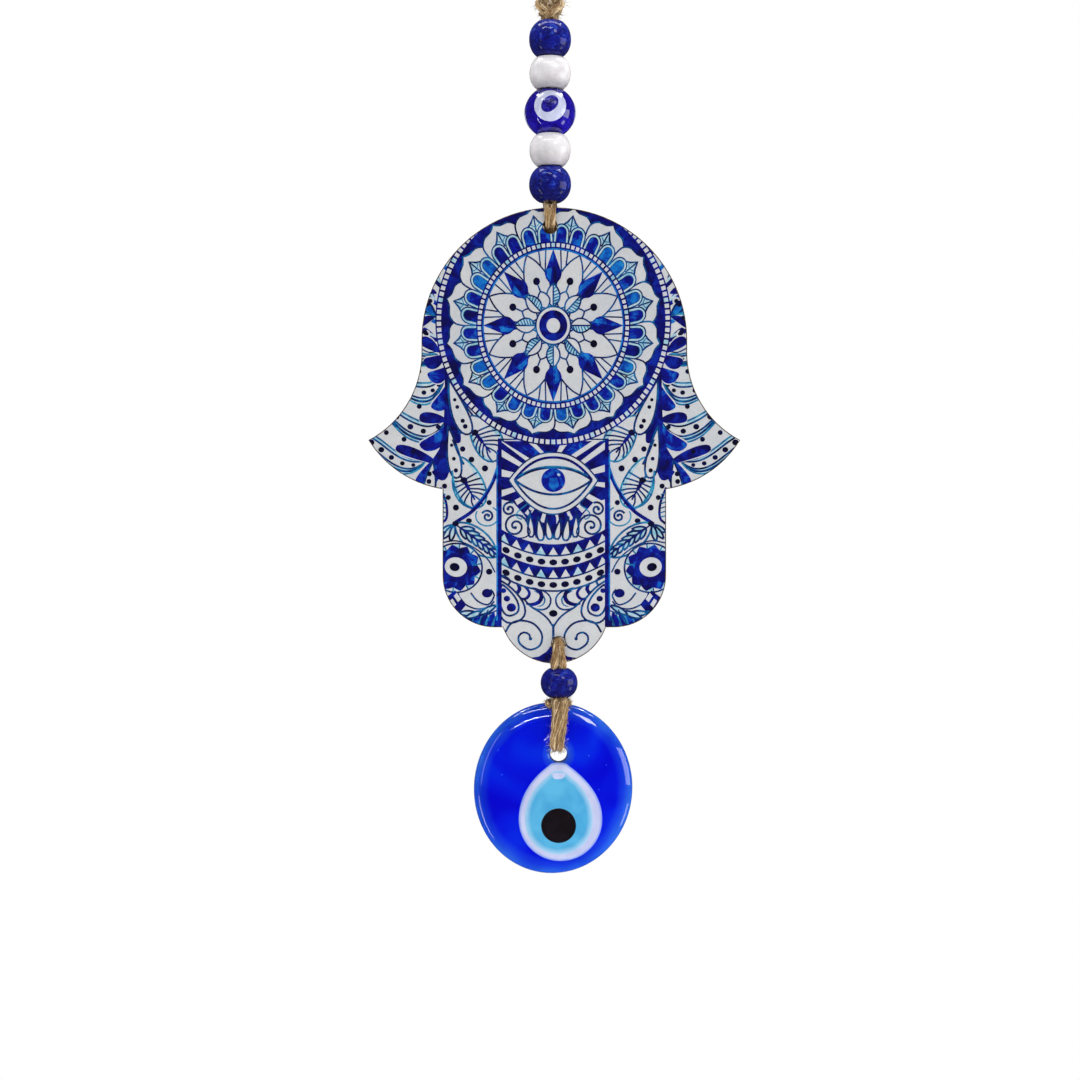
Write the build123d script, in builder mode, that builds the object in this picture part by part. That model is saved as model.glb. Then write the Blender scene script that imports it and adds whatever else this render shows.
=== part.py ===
from build123d import *
import os
from math import asin, atan2, cos, hypot, radians, sin

# An evil eye ornament: a flat printed hamsa plate on a jute cord, with five beads above it,
# and one bead and a glass eye disc below it.
# Millimetres. X points right, Y away from the viewer and Z up.
# The origin is the inside top of the hanging loop, where a nail or a hook would hold it.

# Cord
cord_r = 1.3
strap_half_width = 1.35
strap_thickness = 1.0
bore_cord_r = 1.75
bore_r = 1.8

# Hanging loop and the knot under it
loop_bend_r = 9.0
loop_strand_x = 1.36
loop_gap = 0.2
knot_half_width = 3.1
knot_half_height = 2.3

# Beads: radius and half height
wood_bead = (5.0, 4.2)
white_bead = (4.9, 3.8)
eye_bead_size = (6.05, 5.25)
small_bead = (4.4, 3.6)
bead_gap = 0.1
bead_mouth_r = 2.1
mouth_slope = 1.1
eye_ring_r = 3.75
eye_pupil_r = 2.05
eye_inlay_depth = 1.2
eyes_on_bead = 3

# Hamsa plate, drawn about its own vertical axis with its top edge at plate_top_z
plate_x = 1.0
plate_top_z = -104.6
plate_height = 108.2
plate_thickness = 3.0
print_thickness = 0.2
dome_r = 31.5
thumb_root_depth = 34.3
thumb_tip = (44.1, -55.2)
palm_corner = (26.5, -66.8)
palm_under_r = 24.9
side_finger_r = 12.3
side_finger_depth = 87.3
middle_finger_r = 13.0
hole_r = 1.6
hole_pin_r = 1.52
top_hole_depth = 4.5
low_hole_depth = 103.5
low_hole_x = 1.0
upper_slack = 0.45
lower_slack = 0.45
upper_bead_gap = 1.5
lower_bead_gap = 0.95
face_gap = 0.05

# Lower bead, lower knot and glass disc, all hanging from the lower hole
low_x = plate_x + low_hole_x
plate_bottom_z = plate_top_z - plate_height
low_bead_z = plate_bottom_z - lower_bead_gap - small_bead[1]
low_bead_mouth_r = 2.6
low_knot_gap = 0.35
low_knot_top_z = low_bead_z - small_bead[1] - low_knot_gap
low_knot_height = 1.7
low_knot_half_width = 3.0
low_knot_half_depth = 4.6
disc_half_width = 18.85
disc_half_height = 20.4
disc_lean = -3.0
disc_hole_r = 2.0
disc_hole_from_centre = (1.3, 8.3)
disc_front_y = -3.2
disc_back_y = 2.0
disc_dome_r = 160.0
disc_top_gap = 0.8
disc_top_z = low_knot_top_z - disc_top_gap
disc_centre_x = low_x - disc_hole_from_centre[0]
disc_centre_z = disc_top_z - disc_half_height
disc_hole_z = disc_centre_z + disc_hole_from_centre[1]
drop_flank = (3.2, 2.4)
cord_seat = 0.7
glass_cord_r = 1.25
glass_strap_half_width = 1.5
glass_strap_thickness = 1.6

# Places that follow from the dimensions above
top_hole_z = plate_top_z - top_hole_depth
low_hole_z = plate_top_z - low_hole_depth
plate_front_y = -plate_thickness / 2 - print_thickness
plate_back_y = plate_thickness / 2
blue_low_z = plate_top_z + upper_bead_gap + wood_bead[1]
white_low_z = blue_low_z + wood_bead[1] + bead_gap + white_bead[1]
eye_z = white_low_z + white_bead[1] + bead_gap + eye_bead_size[1]
white_up_z = eye_z + eye_bead_size[1] + bead_gap + white_bead[1]
blue_top_z = white_up_z + white_bead[1] + bead_gap + wood_bead[1]
knot_centre_z = blue_top_z + wood_bead[1] + bead_gap + knot_half_height
loop_end_z = knot_centre_z + knot_half_height + loop_gap
glass_pin_z = disc_hole_z + cord_seat

os.makedirs("parts", exist_ok=True)


def save(piece, label):
    """Name a finished piece and write it."""
    piece.part.label = label
    export_step(piece.part, "parts/" + label + ".step")


def bead(size, centre, mouths=(bead_mouth_r, bead_mouth_r)):
    """A rounded bead with a bore along Z that opens out to the mouth radii at its top and foot."""
    radius, half_height = size
    bulge_z = half_height / (1 - (min(mouths) / radius) ** 2) ** 0.5
    with BuildPart(Plane(origin=centre)) as piece:
        Sphere(bulge_z)
        scale(by=(radius / bulge_z, radius / bulge_z, 1))
        Cylinder(bore_r, 3 * bulge_z, mode=Mode.SUBTRACT)
        for side, mouth in zip((1, -1), mouths):
            rim_z = bulge_z * (1 - (mouth / radius) ** 2) ** 0.5
            depth = mouth_slope * (mouth - bore_r)
            with Locations(Plane(origin=(0, 0, side * (rim_z - depth)), z_dir=(0, 0, side))):
                Cone(
                    bore_r,
                    bore_r + 2 * depth / mouth_slope,
                    2 * depth,
                    align=(Align.CENTER, Align.CENTER, Align.MIN),
                    mode=Mode.SUBTRACT,
                )
    return piece


def cord_ring(x, inside, outside):
    """A flattened strap of cord round the plate's edge, given its inside and outside heights."""
    inside_y = (plate_front_y - face_gap, plate_back_y + face_gap)
    middle_y = sum(inside_y) / 2
    inside_size = (inside_y[1] - inside_y[0], inside[1] - inside[0])
    outside_size = (inside_size[0] + 2 * strap_thickness, outside[1] - outside[0])
    with BuildPart() as ring:
        with BuildSketch(Plane.YZ.offset(x)):
            with Locations((middle_y, sum(outside) / 2)):
                RectangleRounded(*outside_size, 0.95 * strap_thickness)
            with Locations((middle_y, sum(inside) / 2)):
                Rectangle(*inside_size, mode=Mode.SUBTRACT)
        extrude(amount=strap_half_width, both=True)
    return ring


def hole_pin(x, z, radius, front_y, back_y):
    """The round stretch of cord that runs through a hole from front to back."""
    with BuildPart() as pin:
        with BuildSketch(Plane.XZ.offset(-back_y)):
            with Locations((x, z)):
                Circle(radius)
        extrude(amount=back_y - front_y)
    return pin


# Hanging loop: two strands leave the knot, lean apart and join in a round bend
bend_z = cord_r - loop_bend_r
strand_reach = hypot(loop_strand_x, bend_z - loop_end_z)
strand_lean = asin(loop_bend_r / strand_reach) - atan2(loop_strand_x, bend_z - loop_end_z)
touch = (loop_bend_r * cos(strand_lean), bend_z - loop_bend_r * sin(strand_lean))
with BuildPart() as hanging_loop:
    with BuildLine(Plane.XZ) as loop_path:
        Line((loop_strand_x, loop_end_z), touch)
        ThreePointArc(touch, (0, cord_r), (-touch[0], touch[1]))
        Line((-touch[0], touch[1]), (-loop_strand_x, loop_end_z))
    with BuildSketch(Plane(origin=loop_path.line @ 0, z_dir=loop_path.line % 0)):
        Circle(cord_r)
    sweep()
save(hanging_loop, "hanging_loop")

# Knot in the doubled cord above the beads
with BuildPart(Plane(origin=(0, 0, knot_centre_z))) as upper_knot:
    Sphere(knot_half_height)
    scale(by=(knot_half_width / knot_half_height, knot_half_width / knot_half_height, 1))
save(upper_knot, "upper_knot")

# The doubled cord, squeezed round, that fills the bores of the five upper beads
ring_top_z = plate_top_z + upper_slack + strap_thickness
bead_cord_foot_z = ring_top_z + bead_gap
bead_cord_top_z = blue_top_z + wood_bead[1]
with BuildPart() as bead_cord:
    with BuildSketch(Plane.XY.offset(bead_cord_foot_z)):
        Circle(bore_cord_r)
    extrude(amount=bead_cord_top_z - bead_cord_foot_z)
save(bead_cord, "bead_cord")

# The four plain beads above the plate
blue_bead_top = bead(wood_bead, (0, 0, blue_top_z))
save(blue_bead_top, "blue_bead_top")
white_bead_upper = bead(white_bead, (0, 0, white_up_z))
save(white_bead_upper, "white_bead_upper")
white_bead_lower = bead(white_bead, (0, 0, white_low_z))
save(white_bead_lower, "white_bead_lower")
blue_bead_lower = bead(wood_bead, (0, 0, blue_low_z))
save(blue_bead_lower, "blue_bead_lower")

# Eye bead: blue glass with three inlaid eyes, one facing the front
eye_floor = eye_bead_size[0] - eye_inlay_depth
whole_eye_bead = bead(eye_bead_size, (0, 0, eye_z))
eye_planes = []
for turn in range(eyes_on_bead):
    angle = radians(-90 + turn * 360 / eyes_on_bead)
    outward = Vector(cos(angle), sin(angle), 0)
    eye_planes.append(Plane(origin=Vector(0, 0, eye_z) + outward * eye_floor, z_dir=outward))


def eye_plugs(outer_r, inner_r=0.0):
    """Short rods, or tubes, that stand on the floor of each eye and reach past the bead's surface."""
    with BuildPart() as plugs:
        for plane in eye_planes:
            with BuildSketch(plane):
                Circle(outer_r)
                if inner_r:
                    Circle(inner_r, mode=Mode.SUBTRACT)
            extrude(amount=2 * eye_inlay_depth)
    return plugs


with BuildPart() as eye_bead:
    add(whole_eye_bead.part)
    add(eye_plugs(eye_ring_r).part, mode=Mode.SUBTRACT)
save(eye_bead, "eye_bead")

with BuildPart() as eye_bead_rings:
    add(eye_plugs(eye_ring_r, eye_pupil_r).part)
    add(whole_eye_bead.part, mode=Mode.INTERSECT)
save(eye_bead_rings, "eye_bead_rings")

with BuildPart() as eye_bead_pupils:
    add(eye_plugs(eye_pupil_r).part)
    add(whole_eye_bead.part, mode=Mode.INTERSECT)
save(eye_bead_pupils, "eye_bead_pupils")

# Cord round the plate's top edge, through the top hole
with BuildPart() as plate_loop:
    add(
        cord_ring(
            0,
            (top_hole_z + strap_thickness / 2, plate_top_z + upper_slack),
            (top_hole_z - strap_thickness / 2, ring_top_z),
        ).part
    )
    add(hole_pin(0, top_hole_z, hole_pin_r, plate_front_y - face_gap, plate_back_y + face_gap).part)
save(plate_loop, "plate_loop")

# Outline shared by the plate and its printed face: a dome, two flared thumbs and three fingers
corner_depth = -palm_corner[1]
finger_x = palm_corner[0] - side_finger_r
finger_end = side_finger_depth + side_finger_r
middle_depth = plate_height - middle_finger_r
joint_x = (middle_finger_r**2 - (finger_end - middle_depth) ** 2) ** 0.5
with BuildSketch() as hamsa_outline:
    with BuildLine():
        CenterArc((0, -dome_r), dome_r, 0, 90)
        Line((dome_r, -dome_r), (dome_r, -thumb_root_depth))
        TangentArc((dome_r, -thumb_root_depth), thumb_tip, tangent=(0, -1))
        RadiusArc(thumb_tip, palm_corner, palm_under_r)
        Line(palm_corner, (palm_corner[0], -side_finger_depth))
        CenterArc((finger_x, -side_finger_depth), side_finger_r, 0, -90)
        Line((finger_x, -finger_end), (joint_x, -finger_end))
        ThreePointArc(
            (joint_x, -finger_end),
            (
                middle_finger_r * sin(radians(30)),
                -middle_depth - middle_finger_r * cos(radians(30)),
            ),
            (0, -plate_height),
        )
        mirror(about=Plane.YZ)
    make_face()
    with Locations((-plate_x, -top_hole_depth), (low_hole_x, -low_hole_depth)):
        Circle(hole_r, mode=Mode.SUBTRACT)

# Plate: fibreboard, with its printed face glued on the front
with BuildPart() as hamsa_plate:
    with BuildSketch(Plane(origin=(plate_x, plate_back_y, plate_top_z), x_dir=(1, 0, 0), z_dir=(0, -1, 0))):
        add(hamsa_outline.sketch)
    extrude(amount=plate_thickness)
save(hamsa_plate, "hamsa_plate")

print_back_y = plate_front_y + print_thickness
with BuildPart() as printed_face:
    with BuildSketch(Plane(origin=(plate_x, print_back_y, plate_top_z), x_dir=(1, 0, 0), z_dir=(0, -1, 0))):
        add(hamsa_outline.sketch)
    extrude(amount=print_thickness)
save(printed_face, "printed_face")

# Cord round the plate's lower edge, through the lower hole
low_ring_inside_z = plate_bottom_z - lower_slack
low_ring_z = low_ring_inside_z - strap_thickness
with BuildPart() as lower_plate_loop:
    add(
        cord_ring(
            low_x,
            (low_ring_inside_z, low_hole_z - strap_thickness / 2),
            (low_ring_z, low_hole_z + strap_thickness / 2),
        ).part
    )
    add(hole_pin(low_x, low_hole_z, hole_pin_r, plate_front_y - face_gap, plate_back_y + face_gap).part)
save(lower_plate_loop, "lower_plate_loop")

# The doubled cord inside the lower bead
low_cord_top_z = low_ring_z - bead_gap
low_cord_foot_z = low_bead_z - small_bead[1] + bead_gap
with BuildPart() as lower_cord:
    with BuildSketch(Plane(origin=(low_x, 0, low_cord_foot_z))):
        Circle(bore_cord_r)
    extrude(amount=low_cord_top_z - low_cord_foot_z)
save(lower_cord, "lower_cord")

lower_bead = bead(small_bead, (low_x, 0, low_bead_z), (low_bead_mouth_r, bead_mouth_r))
save(lower_bead, "lower_bead")

# Lower knot: sits across the top edge of the glass disc, with a slot that leaves the disc free
slot_half_depth = 2.2
slot_roof = 0.3
with BuildPart() as lower_knot:
    with BuildSketch(Plane.YZ.offset(low_x)):
        with Locations((0, low_knot_top_z - low_knot_height / 2)):
            RectangleRounded(2 * low_knot_half_depth, low_knot_height, 0.6)
        with Locations((0, low_knot_top_z - slot_roof - low_knot_height / 2)):
            Rectangle(2 * slot_half_depth, low_knot_height, mode=Mode.SUBTRACT)
    extrude(amount=low_knot_half_width, both=True)
    fillet(lower_knot.faces().filter_by(Axis.X).edges().group_by(Axis.Z)[-1], 0.15)
save(lower_knot, "lower_knot")

# Cord through the glass disc: a strap down its front, a round stretch in the hole, a strap up its back
strap_foot_z = glass_pin_z - glass_cord_r
strap_top_z = low_knot_top_z - low_knot_height
front_strap_y = disc_front_y - 0.1
back_strap_y = disc_back_y + 0.1
with BuildPart() as glass_loop:
    for inner_y, outer_y in (
        (front_strap_y, front_strap_y - glass_strap_thickness),
        (back_strap_y, back_strap_y + glass_strap_thickness),
    ):
        with BuildSketch(Plane.XZ.offset(-inner_y)):
            with Locations((low_x, (strap_foot_z + strap_top_z) / 2)):
                Rectangle(2 * glass_strap_half_width, strap_top_z - strap_foot_z)
        extrude(amount=inner_y - outer_y)
    fillet(glass_loop.edges().filter_by(Axis.X).group_by(Axis.Z)[0], 0.6)
    add(hole_pin(low_x, glass_pin_z, glass_cord_r, front_strap_y, back_strap_y).part)
save(glass_loop, "glass_loop")

# Glass disc: an oval with a flat back, a slightly domed front and melted round edges
disc_plane = Plane(origin=(disc_centre_x, disc_back_y, disc_centre_z), x_dir=(1, 0, 0), z_dir=(0, -1, 0))
with BuildPart() as whole_disc:
    with BuildSketch(disc_plane):
        Ellipse(disc_half_width, disc_half_height, rotation=disc_lean)
    extrude(amount=disc_back_y - disc_front_y)
    with Locations((disc_centre_x, disc_front_y + disc_dome_r, disc_centre_z)):
        Sphere(disc_dome_r, mode=Mode.INTERSECT)
    fillet(whole_disc.edges().group_by(Axis.Y)[0], 2.0)
    fillet(whole_disc.edges().group_by(Axis.Y)[-1], 1.5)

# Teardrop pools of glass, drawn from the centre of the disc's hole
def teardrop(bottom_r, bottom, neck_half_width, neck_depth, shoulder_depth):
    """A round pool about the point bottom, with a neck that rises towards the hole."""
    with BuildSketch() as drop:
        with BuildLine():
            for side in (1, -1):
                neck = (side * neck_half_width, -neck_depth)
                Bezier(
                    neck,
                    (neck[0] + side * drop_flank[0], neck[1] - drop_flank[1]),
                    (bottom[0] + side * bottom_r, -shoulder_depth),
                    (bottom[0] + side * bottom_r, bottom[1]),
                )
            Line((-neck_half_width, -neck_depth), (neck_half_width, -neck_depth))
            CenterArc(bottom, bottom_r, 0, -180)
        make_face()
    return drop


def pool(outline, floor_y):
    """The disc's glass inside an outline, from a floor inside the disc out to its front face."""
    with BuildPart() as piece:
        with BuildSketch(Plane(origin=(low_x, floor_y, disc_hole_z), x_dir=(1, 0, 0), z_dir=(0, -1, 0))):
            add(outline.sketch)
        extrude(amount=floor_y - disc_front_y + 1)
        add(whole_disc.part, mode=Mode.INTERSECT)
    return piece


white_drop = teardrop(9.9, (0.45, -15.5), 2.1, 2.35, 9.0)
light_drop = teardrop(8.05, (0.05, -15.75), 1.3, 4.1, 9.6)
with BuildSketch() as pupil_round:
    with Locations((0, -16.9)):
        Circle(4.15)
white_pool = pool(white_drop, disc_front_y + 2.0)
light_pool = pool(light_drop, disc_front_y + 1.5)
pupil_pool = pool(pupil_round, disc_front_y + 1.0)

with BuildPart() as glass_disc:
    add(whole_disc.part)
    add(white_pool.part, mode=Mode.SUBTRACT)
    with BuildSketch(Plane(origin=(low_x, disc_back_y, disc_hole_z), x_dir=(1, 0, 0), z_dir=(0, -1, 0))):
        Circle(disc_hole_r)
    extrude(amount=disc_back_y - disc_front_y + 1, mode=Mode.SUBTRACT)
save(glass_disc, "glass_disc")

with BuildPart() as eye_white:
    add(white_pool.part)
    add(light_pool.part, mode=Mode.SUBTRACT)
save(eye_white, "eye_white")

with BuildPart() as eye_light_blue:
    add(light_pool.part)
    add(pupil_pool.part, mode=Mode.SUBTRACT)
save(eye_light_blue, "eye_light_blue")

with BuildPart() as eye_pupil:
    add(pupil_pool.part)
save(eye_pupil, "eye_pupil")
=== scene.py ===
import bpy
import math
import random
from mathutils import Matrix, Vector, noise
from mathutils.geometry import delaunay_2d_cdt


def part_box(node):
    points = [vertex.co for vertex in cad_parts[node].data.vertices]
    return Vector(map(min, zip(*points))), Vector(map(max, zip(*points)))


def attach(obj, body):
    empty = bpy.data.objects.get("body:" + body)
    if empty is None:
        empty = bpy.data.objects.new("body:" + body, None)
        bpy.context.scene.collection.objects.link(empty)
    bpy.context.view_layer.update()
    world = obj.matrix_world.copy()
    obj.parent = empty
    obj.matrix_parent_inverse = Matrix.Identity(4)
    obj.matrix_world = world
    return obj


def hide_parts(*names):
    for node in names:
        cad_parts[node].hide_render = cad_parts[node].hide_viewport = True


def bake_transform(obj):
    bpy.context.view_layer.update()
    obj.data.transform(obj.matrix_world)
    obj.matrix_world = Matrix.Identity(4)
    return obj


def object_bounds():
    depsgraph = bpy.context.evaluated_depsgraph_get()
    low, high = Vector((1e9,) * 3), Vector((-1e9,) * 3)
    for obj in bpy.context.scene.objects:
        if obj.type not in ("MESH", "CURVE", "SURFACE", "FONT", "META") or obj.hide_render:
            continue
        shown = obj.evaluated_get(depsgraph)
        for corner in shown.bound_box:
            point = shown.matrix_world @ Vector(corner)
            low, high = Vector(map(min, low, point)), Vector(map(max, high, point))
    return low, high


# Looks for an evil eye ornament: printed hamsa plate, wooden and glass beads, jute cord, glass eye.
# Lengths inside the builders are in millimetres. The scene itself is in metres.

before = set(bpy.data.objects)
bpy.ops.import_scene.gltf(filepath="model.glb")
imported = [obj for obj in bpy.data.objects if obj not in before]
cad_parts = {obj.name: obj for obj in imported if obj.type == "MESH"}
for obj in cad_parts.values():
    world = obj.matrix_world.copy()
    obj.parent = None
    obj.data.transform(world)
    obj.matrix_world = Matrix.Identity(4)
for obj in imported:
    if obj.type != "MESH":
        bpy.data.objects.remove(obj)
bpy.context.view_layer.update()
MM = 0.001


# ---------------------------------------------------------------- frame helpers

def box_mm(node):
    """A CAD node's corners in millimetres."""
    low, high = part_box(node)
    return low / MM, high / MM


def link_mesh(name, points, faces, materials, face_slots=None, smooth=True):
    """A mesh object from points in millimetres."""
    mesh = bpy.data.meshes.new(name)
    mesh.from_pydata([tuple(c * MM for c in p) for p in points], [], faces)
    for material in materials:
        mesh.materials.append(material)
    if face_slots:
        mesh.polygons.foreach_set("material_index", face_slots)
    if smooth:
        mesh.polygons.foreach_set("use_smooth", [True] * len(faces))
    mesh.update()
    piece = bpy.data.objects.new(name, mesh)
    bpy.context.collection.objects.link(piece)
    return piece


def skin(rows, around, first=0, joined=False, inward=False):
    """Faces between rows of around points, numbered from first. joined links the last row to the
    first row, and inward turns every face over."""
    faces = []
    for row in range(rows if joined else rows - 1):
        here, there = first + row * around, first + (row + 1) % rows * around
        for n in range(around):
            m = (n + 1) % around
            face = (here + n, here + m, there + m, there + n)
            faces.append(face[:1] + face[:0:-1] if inward else face)
    return faces


def capped_skin(rows, around):
    """Faces over rows of points and out to two poles, the first row's pole and then the last's."""
    faces = skin(rows, around, inward=True)
    pole = rows * around
    for n in range(around):
        m = (n + 1) % around
        faces += [(pole, n, m), (pole + 1, pole - around + m, pole - around + n)]
    return faces


def gathered(parts):
    """Several (points, faces) meshes as one."""
    points, faces = [], []
    for more_points, more_faces in parts:
        first = len(points)
        points += more_points
        faces += [tuple(first + index for index in face) for face in more_faces]
    return points, faces


def add_values(piece, name, values):
    """A number for each of the mesh's points, for its material to read."""
    attribute = piece.data.attributes.new(name, "FLOAT", "POINT")
    attribute.data.foreach_set("value", values)


def place(piece, body, slot, *nodes):
    """A finished piece rides on a body and stands for CAD nodes."""
    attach(piece, body)
    if nodes:
        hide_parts(*nodes)
    return piece


# ---------------------------------------------------------------- materials

def srgb(red, green, blue):
    """A colour given as 0-255 display values, in linear light."""
    def linear(value):
        value /= 255
        return value / 12.92 if value <= 0.04045 else ((value + 0.055) / 1.055) ** 2.4
    return (linear(red), linear(green), linear(blue), 1.0)


class Shader:
    """A small wrapper that adds nodes to one Principled material."""

    def __init__(self, name, **values):
        self.material = bpy.data.materials.new(name)
        self.material.use_nodes = True
        self.tree = self.material.node_tree
        self.base = self.tree.nodes["Principled BSDF"]
        for key, value in values.items():
            self.base.inputs[key.replace("_", " ")].default_value = value
        places = self.tree.nodes.new("ShaderNodeTexCoord").outputs
        self.coordinates = places["Object"]
        self.normal = places["Normal"]

    def node(self, kind, **values):
        made = self.tree.nodes.new(kind)
        for key, value in values.items():
            setattr(made, key, value)
        return made

    def link(self, output, target):
        self.tree.links.new(output, target)

    def attribute(self, name, output="Fac"):
        return self.node("ShaderNodeAttribute", attribute_name=name).outputs[output]

    def stretched(self, scale):
        """Object coordinates, scaled along each axis."""
        mapping = self.node("ShaderNodeMapping")
        mapping.inputs["Scale"].default_value = scale
        self.link(self.coordinates, mapping.inputs["Vector"])
        return mapping.outputs["Vector"]

    def facing(self, axis):
        """How far the surface faces along an object axis, -1 to 1."""
        axes = self.node("ShaderNodeSeparateXYZ")
        self.link(self.normal, axes.inputs["Vector"])
        return axes.outputs[axis]

    def speckle(self, size_mm, detail, low, high):
        """A fine grain as a grey or tinted colour to multiply by."""
        grain = self.noise(size_mm, detail)
        return grain, self.ramp(grain, [(0.3, (*low, 1)), (0.7, (*high, 1))])

    def noise(self, size_mm, detail=3.0, source=None, roughness=0.5, distortion=0.0):
        """Noise whose features are about size_mm across when source is in metres."""
        made = self.node("ShaderNodeTexNoise")
        made.inputs["Scale"].default_value = 1 / (size_mm * MM)
        made.inputs["Detail"].default_value = detail
        made.inputs["Roughness"].default_value = roughness
        made.inputs["Distortion"].default_value = distortion
        self.link(source or self.coordinates, made.inputs["Vector"])
        return made.outputs["Fac"]

    def ramp(self, factor, stops):
        """A colour ramp from (position, colour) pairs."""
        made = self.node("ShaderNodeValToRGB")
        elements = made.color_ramp.elements
        while len(elements) < len(stops):
            elements.new(0.5)
        for element, (position, colour) in zip(elements, stops):
            element.position = position
            element.color = colour
        self.link(factor, made.inputs["Fac"])
        return made.outputs["Color"]

    def falloff(self, factor, *stops):
        """A grey ramp from (position, value) pairs."""
        return self.ramp(factor, [(position, (value, value, value, 1)) for position, value in stops])

    def mix(self, factor, first, second, blend="MIX"):
        made = self.node("ShaderNodeMix", data_type="RGBA", blend_type=blend)
        for value, slot in ((factor, 0), (first, 6), (second, 7)):
            if isinstance(value, bpy.types.NodeSocket):
                self.link(value, made.inputs[slot])
            else:
                made.inputs[slot].default_value = value
        return made.outputs[2]

    def math(self, operation, first, second):
        made = self.node("ShaderNodeMath", operation=operation)
        for index, value in enumerate((first, second)):
            if isinstance(value, bpy.types.NodeSocket):
                self.link(value, made.inputs[index])
            else:
                made.inputs[index].default_value = value
        return made.outputs[0]

    def weighted(self, value, weight, added):
        """value times weight, plus added."""
        return self.math("ADD", self.math("MULTIPLY", value, weight), added)

    def colour(self, output):
        self.link(output, self.base.inputs["Base Color"])

    def tinted(self, tone, shade):
        """The surface's colour: one output multiplied by another."""
        self.colour(self.mix(1.0, tone, shade, "MULTIPLY"))

    def drive(self, target, factor, low, high):
        """One of the surface's values follows factor, from low to high."""
        made = self.node("ShaderNodeMapRange")
        made.inputs["To Min"].default_value = low
        made.inputs["To Max"].default_value = high
        self.link(factor, made.inputs["Value"])
        self.link(made.outputs["Result"], self.base.inputs[target])

    def roughness(self, factor, low, high):
        self.drive("Roughness", factor, low, high)

    def bump(self, height, depth_mm):
        made = self.node("ShaderNodeBump")
        made.inputs["Distance"].default_value = depth_mm * MM
        self.link(height, made.inputs["Height"])
        self.link(made.outputs["Normal"], self.base.inputs["Normal"])


def ink(name, dark, usual, bright, patch_mm=2.6):
    """Painted ink: brush patches between three tones, with a fine print grain."""
    shader = Shader(name, Specular_IOR_Level=0.1)
    patches = shader.noise(patch_mm, 4.0, roughness=0.6, distortion=0.6)
    tone = shader.ramp(patches, [(0.36, dark), (0.5, usual), (0.66, bright)])
    grain, speck = shader.speckle(0.35, 2.0, (0.82, 0.82, 0.82), (1.12, 1.12, 1.12))
    shader.tinted(tone, speck)
    shader.roughness(grain, 0.45, 0.58)
    shader.bump(grain, 0.012)
    return shader.material


def paper_material():
    shader = Shader("printed_paper", Specular_IOR_Level=0.3)
    cloud = shader.noise(9.0, 3.0)
    tone = shader.ramp(cloud, [(0.3, srgb(176, 179, 183)), (0.7, srgb(185, 186, 187))])
    grain, speck = shader.speckle(0.5, 3.0, (0.93, 0.93, 0.93), (1.04, 1.04, 1.05))
    shader.tinted(tone, speck)
    shader.roughness(grain, 0.38, 0.52)
    shader.bump(grain, 0.012)
    return shader.material


def jute_material():
    """Tan twine: light and dark fibres, each with its own tone, through the attribute ply_place."""
    shader = Shader("jute", Specular_IOR_Level=0.2, Sheen_Weight=0.15)
    place_on_ply = shader.attribute("ply_place", "Vector")
    streaks = shader.noise(800.0, 4.0, source=place_on_ply, roughness=0.7)
    own = shader.math("MULTIPLY", shader.attribute("fibre_tone"), 0.34)
    tone = shader.ramp(shader.weighted(streaks, 0.66, own), [
        (0.26, srgb(70, 47, 23)), (0.38, srgb(134, 104, 66)), (0.49, srgb(184, 154, 110)),
        (0.60, srgb(218, 193, 150)), (0.72, srgb(250, 237, 208)),
    ])
    patches = shader.noise(2.2, 3.0, roughness=0.6)
    shade = shader.ramp(patches, [(0.34, (0.62, 0.56, 0.5, 1)), (0.62, (1.05, 1.03, 1.0, 1))])
    shader.tinted(tone, shade)
    shader.roughness(streaks, 0.78, 0.98)
    shader.bump(streaks, 0.12)
    return shader.material


def stained_wood_material():
    """Blue stained bead: mottled by brush and grain. Painted highlight gives pale flecks on its upper
    shoulder, and painted shade darkens its lower side.
    """
    shader = Shader("blue_wood", Specular_IOR_Level=0.1, Coat_Weight=0.5, Coat_Roughness=0.09)
    grain = shader.noise(0.42, 6.0, source=shader.stretched((0.3, 1.0, 0.6)), roughness=0.75, distortion=0.5)
    tone = shader.ramp(grain, [
        (0.34, srgb(0, 0, 70)), (0.48, srgb(2, 4, 112)),
        (0.58, srgb(8, 30, 142)), (0.72, srgb(64, 112, 190)),
    ])
    patches = shader.math("MULTIPLY", shader.noise(2.6, 3.0, roughness=0.6), 1.5)
    # Painted light: lighter where the surface faces up, darker where it faces down, broken by random patches
    shade = shader.ramp(shader.weighted(shader.facing("Z"), 0.34, patches), [
        (0.5, (0.3, 0.26, 0.5, 1)), (0.8, (0.85, 0.85, 0.95, 1)), (1.0, (1.5, 2.0, 1.35, 1)),
    ])
    shader.tinted(tone, shade)
    shader.roughness(grain, 0.5, 0.7)
    shader.bump(grain, 0.12)
    return shader.material


def white_bead_material():
    """White enamel: painted light makes the upper shoulder lighter, and painted shade makes it greyer towards
    the lower mouth.
    """
    shader = Shader("white_bead", Coat_Weight=0.4, Coat_Roughness=0.12)
    cloud = shader.noise(3.0, 3.0)
    # Painted shade: the tone is lighter where the surface faces up and greyer where it faces down
    light = shader.weighted(shader.facing("Z"), 0.34, 0.3)
    tone = shader.ramp(shader.weighted(cloud, 0.4, light), [
        (0.25, srgb(166, 162, 166)), (0.5, srgb(210, 207, 209)), (0.72, srgb(236, 234, 236)),
    ])
    _, speck = shader.speckle(0.4, 3.0, (0.94, 0.93, 0.95), (1.04, 1.04, 1.04))
    shader.tinted(tone, speck)
    shader.roughness(cloud, 0.24, 0.36)
    shader.bump(shader.noise(1.3, 2.0), 0.03)
    return shader.material


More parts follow.
